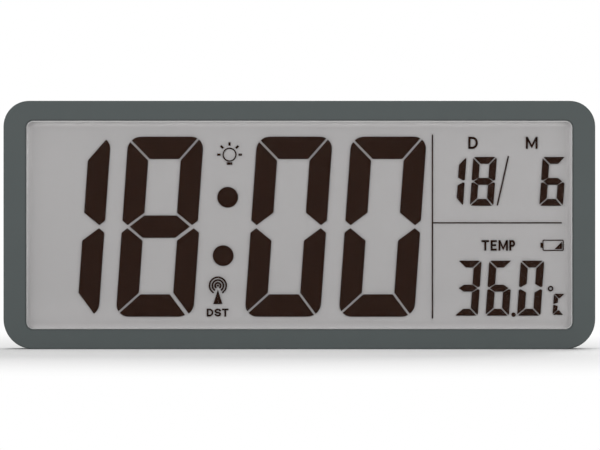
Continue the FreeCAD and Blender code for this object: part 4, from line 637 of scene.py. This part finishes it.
LETTER_STROKES = {
    "D": [[(0, 0), (0, 1), (0.35, 1)] + bowl(0.4, 1.0, 0.0, 1.0) + [(0.35, 0), (0, 0)]],
    "E": [[(1, 1), (0, 1), (0, 0), (1, 0)], [(0, 0.52), (0.85, 0.52)]],
    "M": [[(0, 0), (0, 1)], [(0.08, 0.9), (0.5, 0.12), (0.92, 0.9)], [(1, 1), (1, 0)]],
    "P": [[(0, 0), (0, 1), (0.5, 1)] + bowl(0.55, 1.0, 0.45, 1.0) + [(0.5, 0.45), (0, 0.45)]],
    "S": [snake()],
    "T": [[(0, 1), (1, 1)], [(0.5, 0.9), (0.5, 0)]],
    "up": [[(0, 0.2), (0.5, 0.9), (1, 0.2), (0, 0.2)]],
    "down": [[(0, 0.8), (0.5, 0.1), (1, 0.8), (0, 0.8)]],
    "bell": [[(0, 0.1), (0.14, 0.3), (0.2, 0.8), (0.5, 1), (0.8, 0.8), (0.86, 0.3), (1, 0.1), (0, 0.1)]],
    "wave": [[(0, 0.1), (0, 0.55)], bowl(0.3, 0.55, 0.0, 0.8), bowl(0.6, 1.0, -0.1, 1.1)],
    "ring": [bowl(0.5, 1.0, 0, 1, 20) + [[1 - x, z] for x, z in reversed(bowl(0.5, 1.0, 0, 1, 20))]],
}


# Points closer than the first are one. The other two keep a mitre short where a line turns back.
SAME_POINT = 1e-9
LEAST_WAY = 0.2
MITRE_LIMIT = 0.55


def ribbon(points, width):
    """A flat bar of one width along a line of points, square ended, mitred where it turns.

    Point (s, t) = line point s + t times the mitre direction, t being minus or plus half the width.
    """
    line = np.array(points, dtype=float)
    apart = np.linalg.norm(np.diff(line, axis=0), axis=1) > SAME_POINT
    line = line[np.concatenate([[True], apart])]
    steps = np.diff(line, axis=0)
    steps /= np.linalg.norm(steps, axis=1)[:, None]
    line[0] -= steps[0] * width / 2
    line[-1] += steps[-1] * width / 2
    before, after = np.vstack([steps[:1], steps]), np.vstack([steps, steps[-1:]])
    way = before + after
    way /= np.maximum(np.linalg.norm(way, axis=1), LEAST_WAY)[:, None]
    across = np.stack([-way[:, 1], way[:, 0]], axis=1)
    own = np.stack([-after[:, 1], after[:, 0]], axis=1)
    reach = width / 2 / np.maximum((across * own).sum(axis=1), MITRE_LIMIT)
    sides = np.stack([line - across * reach[:, None], line + across * reach[:, None]], axis=1)
    return sides.reshape(-1, 2), grid_faces(len(line), 2, False, False)


def marks(name, finish, places, front_y, thickness, mirrored=False, body="case"):
    """Lettering and signs of even strokes.

    Each place gives the sign, its middle in X and Z, its width, height and stroke. Point = middle +
    stroke point times (width, height), and the flat ribbon is then given its thickness.
    """
    parts = []
    for sign, middle_x, middle_z, wide, tall, stroke in places:
        for line in LETTER_STROKES[sign]:
            run = np.array(line, dtype=float) - 0.5
            flat = run * (wide - stroke, tall - stroke)
            outline, faces = ribbon(flat, stroke)
            points = np.zeros((len(outline), 3))
            points[:, 0] = middle_x + outline[:, 0] * (-1 if mirrored else 1)
            points[:, 2] = middle_z + outline[:, 1]
            points[:, 1] = front_y
            parts.append((points, faces))
    piece = joined_piece(name, finish, parts, smooth=False, body=body)
    thick = piece.modifiers.new("thickness", "SOLIDIFY")
    thick.thickness = thickness
    thick.offset = 0.0
    return piece


# The window's bevelled edge, drawn as a pale strip just inside the opening: a painted highlight for the
# light the bevel catches

WINDOW_BEVEL = 0.6 * MM
SKIN = 0.02 * MM
WINDOW_CORNER = 4.25 * MM
WINDOW_PLAY = 0.15 * MM

pane_low = (CASE_LOW.x + OPENING_SIDE + WINDOW_PLAY, CASE_LOW.z + OPENING_BASE + WINDOW_PLAY)
pane_high = (CASE_HIGH.x - OPENING_SIDE - WINDOW_PLAY, CASE_HIGH.z - OPENING_TOP - WINDOW_PLAY)
bevel_profile = [
    (0.0, WINDOW_LOW.y + WINDOW_BEVEL - SKIN),
    (-WINDOW_BEVEL, WINDOW_LOW.y - SKIN),
    (-WINDOW_BEVEL, WINDOW_LOW.y + SKIN),
    (-SKIN, WINDOW_LOW.y + WINDOW_BEVEL),
]
# Painted highlight: a near-white opaque strip on the bevel stands for the light it catches
painted_highlight_bevel = plastic("painted_highlight_bevel", linear(232, 231, 231), 0.5, grain=3000.0, depth=0.00001)
edge_band("window_edge_painted_highlight", painted_highlight_bevel, pane_low, pane_high, WINDOW_CORNER, bevel_profile)

# The display's two panes, each a hair thinner than its gap, so that the segments stand clear
# between. Their rim is a corner radius and a bevel.

PANE_RIM = (0.5 * MM, 0.1 * MM)
HAIR = Vector((0.0, SKIN, 0.0))
front_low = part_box("front_polariser")[0]
front_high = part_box("lcd_front_glass")[1]
clear_glass = FINISHES["clear_glass"]
front_pane = slab("display_front_pane", clear_glass, front_low, front_high - HAIR, *PANE_RIM)
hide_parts("front_polariser", "lcd_front_glass")
rear_low, rear_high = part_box("lcd_rear_glass")
rear_low, rear_high = rear_low + HAIR, rear_high - HAIR
rear_pane = slab("display_rear_pane", clear_glass, rear_low, rear_high, *PANE_RIM)
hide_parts("lcd_rear_glass")

# Wound springs in place of the plain sleeves of the construction

SPRING_LOW, SPRING_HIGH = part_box("battery_springs")
SPRING_WIRE = 0.45 * MM
SPRING_TURNS = 5.5
SPRING_LENGTH = 7.2 * MM
CELL_PITCH = 15.0 * MM
spring_y = (SPRING_LOW.y + SPRING_HIGH.y) / 2
spring_middle_z = (SPRING_LOW.z + SPRING_HIGH.z) / 2
spring_radius = (SPRING_HIGH.y - SPRING_LOW.y) / 2 - SPRING_WIRE
SPRING_PLACES = ((1, -1), (-1, 0), (1, 1))
coils = []
for side, step in SPRING_PLACES:
    contact_x = SPRING_HIGH.x if side > 0 else SPRING_LOW.x
    start = (contact_x, spring_y, spring_middle_z + step * CELL_PITCH)
    coils.append(coil(start, contact_x - side * SPRING_LENGTH, spring_radius, SPRING_WIRE, SPRING_TURNS))
springs = joined_piece("wound_springs", FINISHES["nickel_wire"], coils)
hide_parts("battery_springs")

# Lettering in the liquid crystal layer, at the places it has in the photograph

LAYER_Y = (INK_LOW.y + INK_HIGH.y) / 2
LAYER_THICK = 0.06 * MM

# Each letter's left and right, top and foot, and stroke, in pixels of the photograph
DISPLAY_LETTERS = (
    ("D", (468.6, 478.2), (136.6, 148.7), 2.2),
    ("M", (526.2, 538.0), (136.6, 148.7), 2.1),
    ("T", (481.8, 489.4), (240.1, 250.7), 2.1),
    ("E", (490.9, 497.1), (240.1, 250.7), 2.1),
    ("M", (498.8, 508.3), (240.1, 250.7), 2.0),
    ("P", (509.6, 515.5), (240.1, 250.7), 2.1),
    ("D", (206.6, 213.2), (308.7, 316.7), 1.8),
    ("S", (214.4, 221.0), (308.7, 316.7), 1.8),
    ("T", (221.8, 228.4), (308.7, 316.7), 1.8),
)
letter_places = []
for sign, (left_px, right_px), (top_px, foot_px), stroke_px in DISPLAY_LETTERS:
    left, right, top, foot = photo_x(left_px), photo_x(right_px), photo_z(top_px), photo_z(foot_px)
    middle = ((left + right) / 2, (top + foot) / 2)
    letter_places.append((sign, *middle, right - left, top - foot, stroke_px * METRES_PER_PX))
words = marks("display_words", FINISHES["dark_segment"], letter_places, LAYER_Y, LAYER_THICK)

# Raised signs on the rear keys, each on the face of its own key

KEY_SIGN_SIZE = 3.6 * MM
KEY_SIGN_STROKE = 0.55 * MM
KEY_SIGN_RISE = 0.16 * MM
KEY_SIGNS = (("set", "ring"), ("up", "up"), ("down", "down"), ("alarm", "bell"), ("wave", "wave"))
sign_finish = plastic("sign_paint", linear(206, 208, 207), 0.5, grain=3000.0, depth=0.00001)
for key, sign in KEY_SIGNS:
    key_low, key_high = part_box(key + "_button")
    sign_place = (sign, (key_low.x + key_high.x) / 2, (key_low.z + key_high.z) / 2)
    shape = (KEY_SIGN_SIZE, KEY_SIGN_SIZE, KEY_SIGN_STROKE)
    face_y = key_high.y + KEY_SIGN_RISE / 4
    places = [sign_place + shape]
    marks(key + "_sign", sign_finish, places, face_y, KEY_SIGN_RISE, mirrored=True, body=key + "_key")

# Camera: straight on from the front, from far enough that the sides of the case stay hidden

EYE_DISTANCE = 3.0
CLEAR_LAYERS = 32
SENSOR = 0.036
view_width = PHOTO_WIDTH_PX * METRES_PER_PX
eye = bpy.data.cameras.new("eye")
eye.sensor_width = SENSOR / MM
eye.lens = SENSOR * EYE_DISTANCE / view_width / MM
eye.clip_start, eye.clip_end = 0.05, 50.0
camera = bpy.data.objects.new("camera", eye)
camera.location = (photo_x(PHOTO_WIDTH_PX / 2), FRONT_Y - EYE_DISTANCE, photo_z(PHOTO_HEIGHT_PX / 2))
camera.rotation_euler = (math.pi / 2, 0.0, 0.0)
bpy.context.scene.collection.objects.link(camera)
bpy.context.scene.camera = camera

# Room: a white backdrop for the eye, soft lamps and a pale floor that keeps the shadow

ROOM_LIGHT = 0.4
FLOOR_SIDE = 8.0
FLOOR_FADE = (0.22, 0.6)
FLOOR_TONES = ((0.93, 0.93, 0.93, 1), (0.97, 0.97, 0.97, 1))
WHITE = (1, 1, 1, 1)

# Each lamp's place and side in metres, and its watts
AREA_LAMPS = (
    ("left_lamp", (-1.0, -2.1, 0.3), 0.8, 11.5),
    ("right_lamp", (1.0, -2.1, 0.3), 0.8, 11.5),
    ("upper_lamp", (0.0, -2.2, 0.85), 0.8, 9.0),
    ("top_lamp", (-0.2, 0.1, 1.7), 0.8, 6.0),
    ("back_lamp", (0.5, 1.3, 0.8), 0.9, 14.0),
)
case_middle = ((CASE_LOW.x + CASE_HIGH.x) / 2, (FRONT_Y + REAR_Y) / 2, (CASE_LOW.z + CASE_HIGH.z) / 2)


def area_lamp(name, place, side, watts):
    """A square lamp aimed at the middle of the case."""
    light = bpy.data.lights.new(name, "AREA")
    light.size, light.energy = side, watts
    lamp = bpy.data.objects.new(name, light)
    lamp.location = place
    aim = Vector(case_middle) - lamp.location
    lamp.rotation_euler = aim.to_track_quat("-Z", "Y").to_euler()
    bpy.context.scene.collection.objects.link(lamp)
    return lamp


def seen_directly(tree):
    """1 for rays from the eye and for clear and glossy rays, 0 for the light that falls on things."""
    path = add(tree, "ShaderNodeLightPath")
    seen = sums(tree, "MAXIMUM", path.outputs["Is Camera Ray"], path.outputs["Is Glossy Ray"])
    return sums(tree, "MAXIMUM", seen, path.outputs["Is Transmission Ray"])


def white_room():
    """White to the camera and in clear and glossy rays, a plain level of light to everything else."""
    world = bpy.data.worlds.new("white_room")
    world.use_nodes = True
    tree = world.node_tree
    tree.nodes.clear()
    sky = set_sockets(add(tree, "ShaderNodeBackground"), Color=WHITE)
    wire(tree, spread(tree, seen_directly(tree), ROOM_LIGHT, 1.0), sky.inputs["Strength"])
    end = add(tree, "ShaderNodeOutputWorld")
    wire(tree, sky.outputs["Background"], end.inputs["Surface"])
    bpy.context.scene.world = world


def pale_floor():
    """A pale floor that takes the shadow near the case and runs out into the white backdrop."""
    bpy.ops.mesh.primitive_plane_add(size=FLOOR_SIDE, location=(0, 0, CASE_LOW.z))
    floor = bpy.context.object
    floor.name = "pale_floor"
    finish, tree, shader = new_finish("pale_floor")
    place = object_place(tree)
    tone = noise(tree, 3.0, 2.0, place)
    wire(tree, blend_colour(tree, tone, *FLOOR_TONES), shader.inputs["Base Color"])
    set_sockets(shader, Roughness=0.9, Specular_IOR_Level=0.0)
    away = add(tree, "ShaderNodeVectorMath", operation="LENGTH")
    wire(tree, place, away.inputs[0])
    fade = spread(tree, away.outputs["Value"], 0.0, 1.0, *FLOOR_FADE, interpolation_type="SMOOTHSTEP")
    white = set_sockets(add(tree, "ShaderNodeEmission"), Color=WHITE)
    mixed = add(tree, "ShaderNodeMixShader")
    wire(tree, sums(tree, "MULTIPLY", seen_directly(tree), fade), mixed.inputs["Fac"])
    wire(tree, shader.outputs["BSDF"], mixed.inputs[1])
    wire(tree, white.outputs["Emission"], mixed.inputs[2])
    wire(tree, mixed.outputs["Shader"], tree.nodes["Material Output"].inputs["Surface"])
    floor.data.materials.append(finish)
    return floor


white_room()
for lamp_name, lamp_place, lamp_side, lamp_watts in AREA_LAMPS:
    area_lamp(lamp_name, lamp_place, lamp_side, lamp_watts)
pale_floor()
bpy.context.scene.view_settings.view_transform = "Standard"
bpy.context.scene.cycles.transparent_max_bounces = CLEAR_LAYERS
